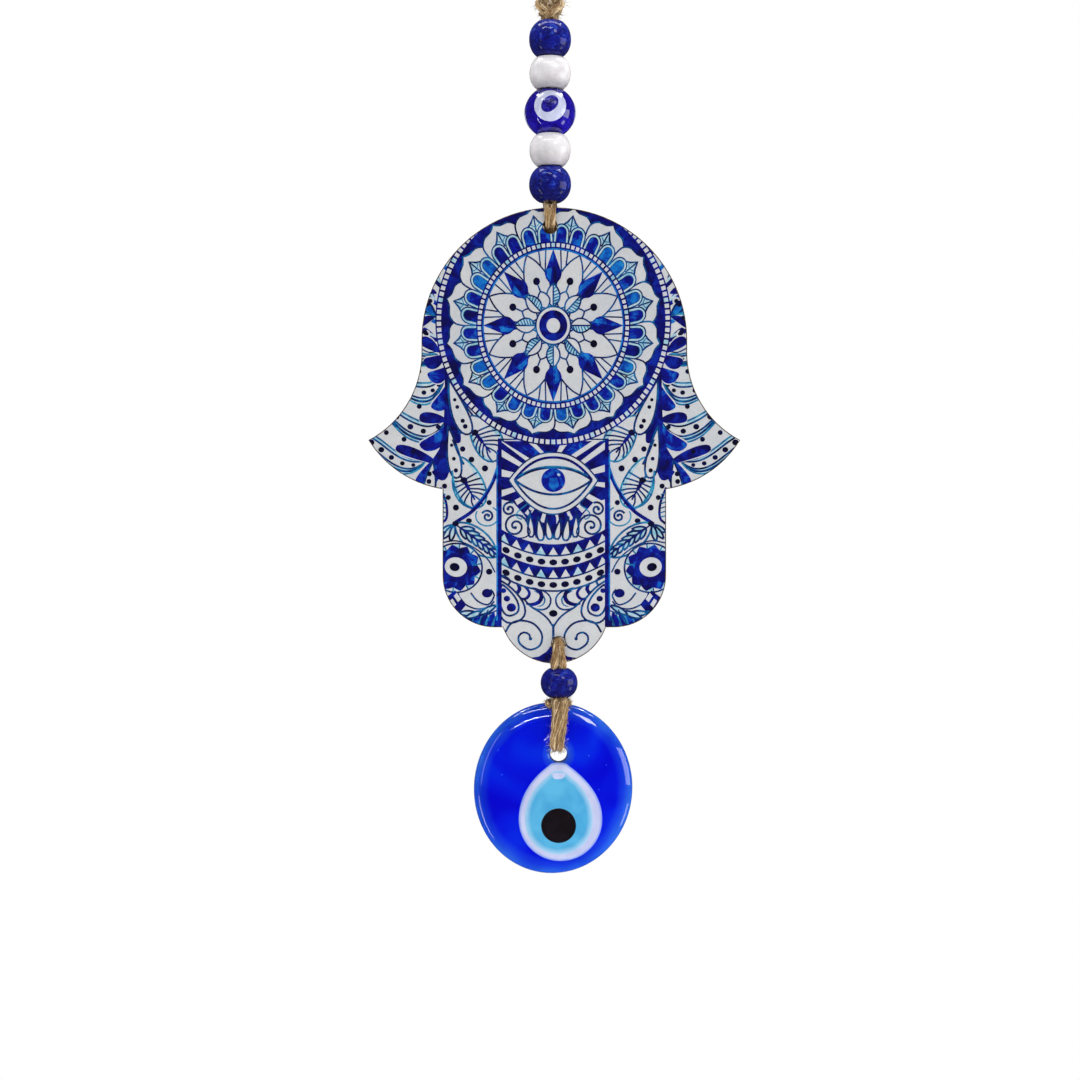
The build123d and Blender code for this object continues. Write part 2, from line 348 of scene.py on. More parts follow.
def lampwork_material(name, dark, usual, bright, swirl_mm=2.2, gloss=1.0):
    """Glossy handmade glass, clouded by slow swirls of tone."""
    shader = Shader(name, Coat_Weight=0.5 * gloss, Coat_Roughness=0.02, Specular_IOR_Level=0.5 * gloss)
    swirl = shader.noise(swirl_mm, 3.0, distortion=1.2)
    shader.colour(shader.ramp(swirl, [(0.3, dark), (0.5, usual), (0.7, bright)]))
    shader.roughness(swirl, 0.04 + 0.4 * (1 - gloss), 0.09 + 0.4 * (1 - gloss))
    shader.bump(shader.noise(3.0, 1.0), 0.025)
    return shader.material


def pool_material(name, edge_tone, dark, bright, soft_mm):
    """A pool of glass whose colour bleeds towards edge_tone at its rim."""
    shader = Shader(name, Coat_Weight=0.5, Coat_Roughness=0.01)
    swirl = shader.noise(6.0, 2.0, distortion=0.6)
    body = shader.ramp(swirl, [(0.3, dark), (0.7, bright)])
    reach = shader.weighted(shader.noise(2.5, 2.0), 0.5 * soft_mm, shader.attribute("edge_mm"))
    share = shader.falloff(shader.math("DIVIDE", reach, 2.0 * soft_mm), (0.15, 1), (0.7, 0))
    shader.colour(shader.mix(share, body, edge_tone))
    shader.roughness(swirl, 0.03, 0.07)
    shader.bump(shader.noise(5.0, 1.0), 0.04)
    return shader.material


def disc_material():
    """Blue glass: the melted rim and the lip round the hole are clearer than the middle. Their paler colour
    is painted light: the glow of lit thin glass, and a painted highlight round the hole.
    """
    shader = Shader("blue_glass", Coat_Weight=0.5, Coat_Roughness=0.01)
    swirl = shader.noise(16.0, 2.0, distortion=0.5)
    body = shader.ramp(swirl, [(0.34, srgb(0, 0, 184)), (0.5, srgb(0, 16, 198)), (0.66, srgb(0, 34, 204))])
    reach = shader.weighted(shader.noise(6.0, 2.0), 1.6, shader.attribute("edge_mm"))
    band = shader.falloff(shader.math("DIVIDE", reach, 8.0), (0.08, 1), (0.22, 0.62), (0.34, 0.28), (0.58, 0))
    # Painted light: the pale rim colour stands for light through the thin rim and a highlight round the hole
    rim = shader.ramp(swirl, [(0.3, srgb(16, 74, 208)), (0.7, srgb(56, 120, 226))])
    shader.colour(shader.mix(band, body, rim))
    shader.drive("Transmission Weight", band, 0.0, 0.35)
    shader.roughness(swirl, 0.03, 0.06)
    shader.bump(shader.noise(8.0, 1.0), 0.08)
    return shader.material


def board_material():
    """Fibreboard: brown flecked faces, and edges scorched dark by the laser."""
    shader = Shader("fibreboard")
    fleck = shader.noise(0.6, 5.0, roughness=0.7)
    face = shader.ramp(fleck, [
        (0.3, srgb(112, 78, 48)), (0.5, srgb(148, 108, 70)), (0.72, srgb(180, 140, 98)),
    ])
    char = shader.noise(1.6, 4.0)
    edge = shader.ramp(char, [(0.3, srgb(18, 12, 9)), (0.55, srgb(44, 28, 18)), (0.75, srgb(92, 60, 36))])
    flat = shader.math("ABSOLUTE", shader.facing("Y"), 0.0)
    shader.colour(shader.mix(shader.math("GREATER_THAN", flat, 0.7), edge, face))
    shader.roughness(fleck, 0.72, 0.92)
    shader.bump(fleck, 0.05)
    return shader.material


JUTE = jute_material()
BLUE_WOOD = stained_wood_material()
WHITE = white_bead_material()
COBALT = lampwork_material("cobalt_glass", srgb(12, 2, 92), srgb(22, 8, 132), srgb(34, 26, 164))
PUPIL_GLASS = lampwork_material(
    "pupil_glass", srgb(10, 4, 92), srgb(24, 14, 132), srgb(52, 52, 164), 0.8, 0.5)
NAVY_GLASS = lampwork_material("navy_glass", srgb(10, 4, 66), srgb(18, 10, 96), srgb(40, 40, 132), 0.8, 0.5)
MILK_GLASS = lampwork_material("milk_glass", srgb(168, 173, 202), srgb(182, 187, 212), srgb(196, 200, 221))
POOL_WHITE = pool_material("white_glass", srgb(110, 136, 210), srgb(166, 172, 208), srgb(184, 190, 218), 0.6)
POOL_BLUE = pool_material(
    "light_blue_glass", srgb(150, 186, 214), srgb(62, 146, 194), srgb(84, 166, 206), 1.2)
POOL_BLACK = lampwork_material("black_glass", srgb(12, 8, 12), srgb(18, 13, 18), srgb(24, 20, 28), 3.0)
DISC_BUBBLE = lampwork_material("glass_bubble", srgb(20, 60, 224), srgb(40, 90, 232), srgb(90, 140, 240), 1.0)
DISC_BLUE = disc_material()
BOARD = board_material()


# ---------------------------------------------------------------- curves

def spline(points, step):
    """Points about step apart on a smooth curve through the given points."""
    anchors = [Vector(p) for p in points]
    anchors = [2 * anchors[0] - anchors[1]] + anchors + [2 * anchors[-1] - anchors[-2]]
    found = []
    for index in range(1, len(anchors) - 2):
        a, b, c, d = anchors[index - 1:index + 3]
        count = max(1, round((c - b).length / step))
        for k in range(count):
            t = k / count
            found.append(0.5 * (
                2 * b + (c - a) * t + (2 * a - 5 * b + 4 * c - d) * t * t
                + (3 * b - a - 3 * c + d) * t ** 3
            ))
    found.append(anchors[-2])
    return found


def frames_along(path):
    """At each point of a 3-D path: its tangent and two directions across it that don't twist."""
    found = []
    side = None
    for index in range(len(path)):
        ahead = path[min(index + 1, len(path) - 1)]
        behind = path[max(index - 1, 0)]
        tangent = (ahead - behind).normalized()
        if side is None:
            side = Vector((1, 0, 0)) if abs(tangent.x) < 0.8 else Vector((0, 1, 0))
        side = (side - tangent * side.dot(tangent)).normalized()
        found.append((tangent, side, tangent.cross(side)))
    return found


# ---------------------------------------------------------------- jute

RING_STEP = 0.28


class Twine:
    """Collects plies and loose fibres, and makes them one mesh."""

    def __init__(self, seed):
        self.points = []
        self.faces = []
        self.places = []
        self.tones = []
        self.random = random.Random(seed)

    def tube(self, path, radii, sides, place_scale):
        """A closed round tube with its own tone."""
        first = len(self.points)
        phase = self.random.uniform(0, 50)
        tone = self.random.random()
        travelled = 0.0
        self.tones += [tone] * (len(path) * sides)
        for index, (point, axes) in enumerate(zip(path, frames_along(path))):
            if index:
                travelled += (point - path[index - 1]).length
            for side in range(sides):
                angle = 2 * math.pi * side / sides
                out = math.cos(angle) * axes[1] + math.sin(angle) * axes[2]
                self.points.append(point + radii[index] * out)
                turn = angle + 0.55 * travelled
                self.places.append((
                    place_scale * math.cos(turn) + phase,
                    place_scale * math.sin(turn),
                    travelled * 0.12,
                ))
        self.close(first, len(path), sides)

    def close(self, first, rows, sides):
        """The skin and both ends of a tube whose points start at first."""
        last = first + (rows - 1) * sides
        self.faces += skin(rows, sides, first)
        self.faces.append(tuple(reversed(range(first, first + sides))))
        self.faces.append(tuple(range(last, last + sides)))

    def cord(self, anchors, width, depth=None, pitch=24.0, strands=24, hand=1):
        """A yarn: a ridged core wrapped in fine strands. width and depth are half sizes: numbers,
        or functions of 0..1. Returns its path and the axes along it."""
        path = spline(anchors, RING_STEP)
        axes = frames_along(path)
        last = len(path) - 1
        travelled = [0.0]
        for before, after in zip(path, path[1:]):
            travelled.append(travelled[-1] + (after - before).length)

        def at(size, index):
            return size(index / last) if callable(size) else size

        depth = depth or width
        mean = (at(width, last // 2) + at(depth, last // 2)) / 2
        for strand in range(strands):
            start = 2 * math.pi * (strand + self.random.uniform(-0.4, 0.4)) / strands
            turn_rate = hand * 2 * math.pi / (pitch * self.random.uniform(0.85, 1.2))
            reach = self.random.uniform(0.74, 1.0)
            thick = mean * self.random.uniform(0.09, 0.18)
            sway, phase = self.random.uniform(0.03, 0.12), self.random.uniform(0, 6.28)
            centre = []
            for index in range(0, last + 1, 2):
                run = travelled[index]
                angle = start + turn_rate * run + 0.25 * math.sin(0.9 * run + phase)
                out = reach + sway * math.sin(1.4 * run + 2 * phase)
                wide, deep = at(width, index) - thick, at(depth, index) - thick
                centre.append(
                    path[index] + axes[index][1] * (out * wide * math.cos(angle))
                    + axes[index][2] * (out * deep * math.sin(angle))
                )
            self.tube(centre, [thick] * len(centre), 5, 2.5)
        self.core(path, axes, [at(width, index) * 0.8 for index in range(last + 1)],
                  [at(depth, index) * 0.8 for index in range(last + 1)])
        return path, axes

    def hairy_cord(self, anchors, width, depth=None, fuzz=(), **lay):
        """A cord with loose hairs. fuzz is their width of growth, their number per mm and their length."""
        run, axes = self.cord(anchors, width, depth, **lay)
        self.fuzz(run, axes, *fuzz)

    def core(self, path, axes, wides, deeps):
        """The closed body of a yarn, of oval section. It is dark, as it lies in the strands' shade."""
        sides = 14
        first = len(self.points)
        self.tones += [0.2] * (len(path) * sides)
        travelled = 0.0
        for index, point in enumerate(path):
            if index:
                travelled += (point - path[index - 1]).length
            for side in range(sides):
                angle = 2 * math.pi * side / sides
                swell = 1 + 0.05 * math.sin(3 * angle + 0.8 * travelled)
                self.points.append(
                    point + axes[index][1] * (wides[index] * swell * math.cos(angle))
                    + axes[index][2] * (deeps[index] * swell * math.sin(angle))
                )
                turn = angle + 0.48 * travelled
                self.places.append((4 * math.cos(turn), 4 * math.sin(turn), travelled * 0.12))
        self.close(first, len(path), sides)

    def plug(self, x, z, front, back):
        """Fibres packed into one of the plate's holes, set back behind the cords that dive in."""
        front, back, reach = front + 1.2, back - 0.2, 1.5
        path = spline([(x, front, z), (x, (front + back) / 2, z), (x, back, z)], RING_STEP)
        # Like every core it is painted dark: painted shade inside the hole
        self.core(path, frames_along(path), [reach] * len(path), [reach] * len(path))

    def fibre(self, start, direction, length, curl, radius):
        """One loose hair that leaves the cord and bends as it goes."""
        path = [start]
        heading = direction.normalized()
        bend = Vector([self.random.uniform(-1, 1) for _ in range(3)]) * curl
        steps = 7
        for _ in range(steps):
            heading = (heading + bend / steps).normalized()
            path.append(path[-1] + heading * (length / steps))
        radii = [radius * (1 - 0.75 * index / steps) for index in range(steps + 1)]
        self.tube(path, radii, 3, 2.0)

    def fuzz(self, path, axes, width, per_mm, length):
        """Short hairs all along a cord, mostly lying close to it."""
        total = sum((b - a).length for a, b in zip(path, path[1:]))
        for _ in range(int(total * per_mm)):
            index = self.random.randrange(1, len(path) - 1)
            tangent, across, up = axes[index]
            angle = self.random.uniform(0, 2 * math.pi)
            out = across * math.cos(angle) + up * math.sin(angle)
            lean = self.random.choice((-1, 1)) * self.random.uniform(0.55, 1.6)
            start = path[index] + out * width * 0.85
            size = self.random.uniform(0.35, 1.0) * length
            self.fibre(start, out + tangent * lean, size, 1.3, self.random.uniform(0.045, 0.08))

    def piece(self, name):
        made = link_mesh(name, self.points, self.faces, [JUTE])
        attribute = made.data.attributes.new("ply_place", "FLOAT_VECTOR", "POINT")
        attribute.data.foreach_set("vector", [c for place in self.places for c in place])
        add_values(made, "fibre_tone", self.tones)
        return made


# ---------------------------------------------------------------- the printed design
# Design space: x in mm from the plate's axis, d in mm down from the plate's top edge.

PAPER, LINE, NAVY, COBALT_INK, MID, TEAL, PALE, DOT, SCORCH = range(9)
INKS = [
    paper_material(),
    ink("ink_line", srgb(0, 2, 52), srgb(0, 36, 98), srgb(4, 88, 144), 3.2),
    ink("ink_navy", srgb(0, 0, 62), srgb(0, 0, 98), srgb(0, 30, 140)),
    ink("ink_cobalt", srgb(0, 0, 90), srgb(0, 14, 136), srgb(6, 92, 178)),
    ink("ink_mid_blue", srgb(0, 40, 134), srgb(4, 84, 168), srgb(24, 122, 188)),
    ink("ink_teal", srgb(4, 62, 112), srgb(10, 96, 142), srgb(40, 136, 170)),
    ink("ink_pale", srgb(120, 166, 184), srgb(150, 180, 192), srgb(172, 188, 194)),
    ink("ink_dot", srgb(2, 2, 24), srgb(2, 2, 40), srgb(0, 0, 70), 1.5),
    ink("scorched_edge", srgb(20, 12, 8), srgb(48, 32, 22), srgb(96, 70, 50), 1.8),
]
LINE_WIDTH = 0.5


class Drawing:
    """Closed shapes in painter's order. Every shape is drawn once, or once on each side."""

    def __init__(self):
        self.shapes = []

    def fill(self, points, colour, both=False):
        for side in (1, -1) if both else (1,):
            outline = [(side * x, d) for x, d in points]
            area = sum(a[0] * b[1] - b[0] * a[1] for a, b in zip(outline, outline[1:] + outline[:1]))
            if abs(area) > 1e-4:
                self.shapes.append((outline if area > 0 else outline[::-1], colour))

    def stroke(self, points, width=LINE_WIDTH, colour=LINE, both=False, closed=False, taper=False):
        """A line of even width, or one that thins towards both ends."""
        count = len(points)
        lefts, rights = [], []
        for index, (x, d) in enumerate(points):
            if closed:
                before, after = points[index - 1], points[(index + 1) % count]
            else:
                before, after = points[max(index - 1, 0)], points[min(index + 1, count - 1)]
            run, fall = after[0] - before[0], after[1] - before[1]
            size = math.hypot(run, fall) or 1.0
            half = width / 2
            if taper:
                half *= 0.25 + 0.75 * math.sin(math.pi * index / (count - 1)) ** 0.5
            lefts.append((x - fall / size * half, d + run / size * half))
            rights.append((x + fall / size * half, d - run / size * half))
        for index in range(count if closed else count - 1):
            after = (index + 1) % count
            self.fill([lefts[index], lefts[after], rights[after], rights[index]], colour, both)

    def oval(self, x, d, wide, high=None, colour=DOT, both=False, turn=0.0):
        self.fill(oval_points(x, d, wide, high or wide, turn), colour, both)


def oval_points(x, d, wide, high, turn=0.0, start=0.0, end=360.0):
    """An oval or a part of one, from half sizes in mm and angles in degrees."""
    whole = abs(end - start) >= 360
    count = max(8, int(abs(end - start) / 360 * (10 + 9 * max(wide, high) ** 0.7)))
    found = []
    for k in range(count if whole else count + 1):
        angle = math.radians(start + (end - start) * k / count)
        across, along = wide * math.cos(angle), high * math.sin(angle)
        c, s = math.cos(math.radians(turn)), math.sin(math.radians(turn))
        found.append((x + across * c - along * s, d + across * s + along * c))
    return found


def flow(*anchors, step=0.7):
    """A smooth 2-D line through anchors."""
    return [(p.x, p.y) for p in spline([(x, d, 0) for x, d in anchors], step)]


def curves(drawing, *lines):
    """Smooth lines on both sides of the print, each given as its width, colour and anchors."""
    for width, colour, *anchors in lines:
        drawing.stroke(flow(*anchors), width, colour, True)


def leaf_sides(base, tip, half, rise=0.9, fall=0.9, bend=0.0, count=12):
    """The two sides of a leaf from base to tip. High rise makes a thin base; low fall, a round tip."""
    run, down = tip[0] - base[0], tip[1] - base[1]
    size = math.hypot(run, down)
    across = (-down / size, run / size)
    peak = (rise / (rise + fall)) ** rise * (fall / (rise + fall)) ** fall
    left, right = [], []
    for k in range(count + 1):
        t = 0.5 - 0.5 * math.cos(math.pi * k / count)
        wide = half * (t ** rise) * ((1 - t) ** fall) / peak
        shift = 4 * bend * t * (1 - t)
        x, d = base[0] + run * t + across[0] * shift, base[1] + down * t + across[1] * shift
        left.append((x + across[0] * wide, d + across[1] * wide))
        right.append((x - across[0] * wide, d - across[1] * wide))
    return left, right


def between(drawing, left, right, colour, line=None, width=LINE_WIDTH, both=True):
    """Paints the area between two sides that meet at their ends, and then lines both sides."""
    drawing.fill(left + right[-2:0:-1], colour, both)
    if line is not None:
        drawing.stroke(left, width, line, both)
        drawing.stroke(right, width, line, both)


def leaf(drawing, base, tip, half, colour, line=None, both=True, **shape):
    """A leaf from base to tip that reaches half mm to each side of its middle line."""
    between(drawing, *leaf_sides(base, tip, half, **shape), colour, line, both=both)


def veined_leaf(drawing, top, tip, half, root, bend=0.0):
    """A broad pale leaf. Dark curved veins fan out from a thick midrib that starts at root."""
    veins = 6
    left, right = leaf_sides(top, tip, half, 0.75, 0.5, bend)
    between(drawing, left, right, PALE)
    between(drawing, *leaf_sides(top, tip, 0.7 * half, 0.75, 0.5, bend), PAPER)
    run, fall = tip[0] - root[0], tip[1] - root[1]
    count = len(left) - 1
    for edge, sway in ((left, 1), (right, -1)):
        for k in range(veins):
            t = k / veins
            start = (root[0] + run * 0.62 * t, root[1] + fall * 0.62 * t)
            end = edge[round(count * (0.42 + 0.55 * t))]
            bow = 0.05 * sway
            half_way = ((start[0] + end[0]) / 2 - bow * fall, (start[1] + end[1]) / 2 + bow * run)
            drawing.stroke(flow(start, half_way, end, step=1.1), 0.42, LINE, True)
    drawing.stroke([root, (root[0] + 0.35 * run, root[1] + 0.35 * fall)], 0.85, NAVY, True)
    drawing.stroke([root, (root[0] + 0.72 * run, root[1] + 0.72 * fall)], 0.42, NAVY, True)
    drawing.stroke(left, 0.44, TEAL, True)
    drawing.stroke(right, 0.44, TEAL, True)
    drawing.oval(*root, 0.85, 0.75, both=True)


def spiral(drawing, x, d, outer, turns, start):
    """A curl on each side that winds in from radius outer, starting at an angle in degrees."""
    width, inner = 0.52, 0.35
    count = int(16 * turns + 6)
    found = []
    for k in range(count + 1):
        t = k / count
        radius = outer + (inner - outer) * t
        angle = math.radians(start + 360 * turns * t)
        found.append((x + radius * math.cos(angle), d + radius * math.sin(angle)))
    drawing.stroke(found, width, LINE, True)
    drawing.oval(*found[-1], width * 0.75, colour=LINE, both=True)


def dotted_drop(drawing, top, foot, half, dots, bend=0.0):
    """A paper-white teardrop outlined in line ink, with dots growing towards its round end."""
    left, right = leaf_sides(top, foot, half, 1.1, 0.45, bend)
    between(drawing, left, right, PAPER, LINE)
    count = len(left) - 1
    for k in range(dots):
        t = 0.42 + 0.42 * k / max(1, dots - 1)
        index = round(math.acos(1 - 2 * t) / math.pi * count)
        x, d = (left[index][0] + right[index][0]) / 2, (left[index][1] + right[index][1]) / 2
        drawing.oval(x, d, 0.42 + 0.05 * k, both=True)


# Mandala: centred on the plate's axis and slightly taller than it is wide
MIDDLE_IN, MIDDLE_OUT = 28.0, 26.9
LADDER_IN, LADDER_OUT = 16.8, 18.3
RIM_IN, RIM_OUT = 26.3, 28.0
STRETCH_IN, STRETCH_OUT = 1.09, 1.058


def polar(radius, angle):
    """A mandala point: radius in mm across, angle in degrees clockwise from the top."""
    share = min(1, max(0, (radius - LADDER_OUT) / (RIM_IN - LADDER_OUT)))
    tall = STRETCH_IN + (STRETCH_OUT - STRETCH_IN) * share
    middle_d = MIDDLE_IN + (MIDDLE_OUT - MIDDLE_IN) * share
    turn = math.radians(angle)
    return (radius * math.sin(turn), middle_d - tall * radius * math.cos(turn))


def spoke(angle, across, radius):
    """A point across mm to the side of the spoke at angle, radius mm out from the centre."""
    return polar(radius, angle + math.degrees(across / radius))


def spokes(angle, points, side=1):
    """Points given as (across, radius) on the spoke at angle, mirrored across it if side is -1."""
    return [spoke(angle, side * across, radius) for across, radius in points]


def ring_points(radius, count=96):
    """The outline of a mandala ring."""
    return [polar(radius, 360 * k / count) for k in range(count)]


def ladder(drawing, inner, outer, cells):
    """A dark ring with a row of pale cells in it."""
    drawing.fill(ring_points(outer), NAVY)
    edge = 0.34
    for k in range(cells):
        angle = 360 * k / cells
        half = 360 / cells * 0.33
        drawing.fill([
            polar(inner + edge, angle - half), polar(outer - edge, angle - half),
            polar(outer - edge, angle + half), polar(inner + edge, angle + half),
        ], PAPER if k % 7 else PALE)


def arch(drawing, angle, colour):
    """A round-topped arch on the inner ladder: dark line, pale border and painted middle."""
    foot, head, half = LADDER_OUT - 0.3, 22.2, 1.93
    for inset, shade in ((0.0, LINE), (0.32, PALE), (0.7, LINE), (0.9, colour)):
        wide = half - inset
        points = [spoke(angle, -wide, foot)]
        for k in range(9):
            turn = math.pi * k / 8
            points.append(spoke(angle, -wide * math.cos(turn), head - half + wide * math.sin(turn)))
        points.append(spoke(angle, wide, foot))
        drawing.fill(points, shade)


def mandala(drawing):
    """The round flower medallion, from its rim inwards."""
    draw_random = random.Random(11)
    ladder(drawing, RIM_IN, RIM_OUT, 126)
    drawing.fill(ring_points(RIM_IN), NAVY)
    # Sixteen white petals with pointed heads; the blue shows between them
    petal = ((-3.9, 18.5), (-4.75, 22.2), (-4.55, 23.7), (-3.3, 24.7), (-1.4, 24.9), (0, 25.8))
    half = flow(*petal, step=0.8)
    for k in range(16):
        angle = 22.5 * k + 11.25
        outline = spokes(angle, half) + spokes(angle, half[-2::-1], -1)
        drawing.fill(outline, PAPER)
        drawing.stroke(outline, 0.42, LINE)
    # Small pointed leaves between pairs of arches
    for k in range(16):
        angle = 22.5 * k + 11.25
        flank = [(1.5, 20.6), (1.75, 22.0), (0.9, 22.7)]
        bud = spokes(angle, flank, -1) + spokes(angle, [(0, 24.1)] + flank[::-1])
        drawing.fill(bud, PALE)
        drawing.stroke(bud, 0.48, LINE)
        drawing.stroke(spokes(angle, ((0, 20.5), (0, 23.9))), 0.36, LINE)
        for side in (-1, 1):
            drawing.stroke(spokes(angle, ((0, 21.6), (1.2, 22.4)), side), 0.22, TEAL)
    for k in range(32):
        paint = draw_random.choice((COBALT_INK, MID, NAVY, COBALT_INK))
        arch(drawing, 11.25 * k + 5.6, paint)
    ladder(drawing, LADDER_IN, LADDER_OUT, 94)
    drawing.fill(ring_points(LADDER_IN), MID)
    drawing.fill(ring_points(LADDER_IN - 0.35), PAPER)
    # Eight thin pointed petals, each with a stemmed dot, and lines that fan out to the ladder
    for k in range(8):
        angle = 45 * k + 22.5
        for side in (-1, 1):
            petal_side = flow((2.2, 7.4), (2.9, 9.4), (2.75, 11.6), (1.6, 14.4), (0.0, 16.5), step=0.9)
            drawing.stroke(spokes(angle, petal_side, side), 0.4, LINE)
            for ray in (((2.2, 13.4), (3.0, 16.5)), ((2.75, 11.9), (4.7, 16.5))):
                drawing.stroke(spokes(angle, ray, side), 0.36, LINE)
        drawing.stroke(spokes(angle, ((0, 6.0), (0, 10.0))), 0.4, LINE)
        turns = [math.radians(30 * n) for n in range(12)]
        dot = [(0.85 * math.cos(turn), 10.4 + 0.85 * math.sin(turn)) for turn in turns]
        drawing.fill(spokes(angle, dot), DOT)
    # Eight two-tone spears
    for k in range(8):
        angle = 45 * k
        blade = ((0, 8.6), (1.0, 9.4), (1.75, 10.4), (2.05, 11.4), (1.5, 12.9), (0.8, 14.6), (0, 16.7))
        for side, shade in ((1, NAVY), (-1, COBALT_INK)):
            drawing.fill(spokes(angle, blade, side), shade)
        drawing.fill(spokes(angle, ((-1.5, 10.6), (-0.7, 9.4), (-0.25, 12.8), (-1.4, 12.4))), MID)
    # Eight leaves round the eye, one half of each hatched, and white leaves behind them
    for k in range(8):
        for angle, reach, wide, hatched in ((45 * k + 22.5, 8.0, 1.45, False), (45 * k, 9.2, 1.6, True)):
            profile = [(wide * math.sin(math.pi * t) ** 0.8, 4.0 + (reach - 4.0) * t)
                       for t in (n / 8 for n in range(9))]
            right, left = spokes(angle, profile), spokes(angle, profile, -1)
            drawing.fill(right + left[-2:0:-1], PAPER)
            if hatched:
                drawing.fill(right[1:-1] + [spoke(angle, 0, reach), spoke(angle, 0, 4.0)], PALE)
                for n in range(1, 8):
                    drawing.stroke([spoke(angle, 0.0, profile[n][1] - 0.7), right[n]], 0.32, TEAL)
                drawing.stroke(spokes(angle, ((0, 4.0), (0, reach))), 0.38, LINE)
            drawing.stroke(right, 0.4, LINE)
            drawing.stroke(left, 0.4, LINE)
    for radius, shade in ((4.35, LINE), (3.95, PAPER), (3.35, NAVY), (1.6, PAPER)):
        drawing.fill(ring_points(radius, 40), shade)


# Middle panel with the eye
PANEL_HALF = 12.6
PANEL_TOP = 55.4
EYE_D = 64.7
# Rays round the eye: direction in degrees and half width
RAYS = (
    (10, 0.65), (30, 0.8), (53, 0.9), (80, 0.7), (109, 0.6), (140, 0.9), (157, 0.7), (174, 0.65), (191, 0.6),
    (211, 0.65), (233, 0.7), (255, 0.5), (275, 0.5), (295, 0.45), (315, 0.65), (338, 0.75), (356, 0.45),
)


def almond(half_width, rise, drop):
    """The outline of an eye: two bowed lids that meet in corners."""
    count = 20
    upper, lower = [], []
    for k in range(count + 1):
        t = -1 + 2 * k / count
        upper.append((half_width * t, EYE_D - rise * (1 - abs(t) ** 2.3)))
        lower.append((half_width * t, EYE_D + drop * (1 - abs(t) ** 2.05)))
    return upper, lower


def sag(x, middle_d):
    """How far down a hanging line is at x: middle_d at the axis, and less towards the sides."""
    return middle_d - 3.7 * (x / PANEL_HALF) ** 2


def sag_line(middle_d):
    """A hanging line right across the panel."""
    return [(x, sag(x, middle_d)) for x in (-PANEL_HALF + 2 * PANEL_HALF * k / 24 for k in range(25))]


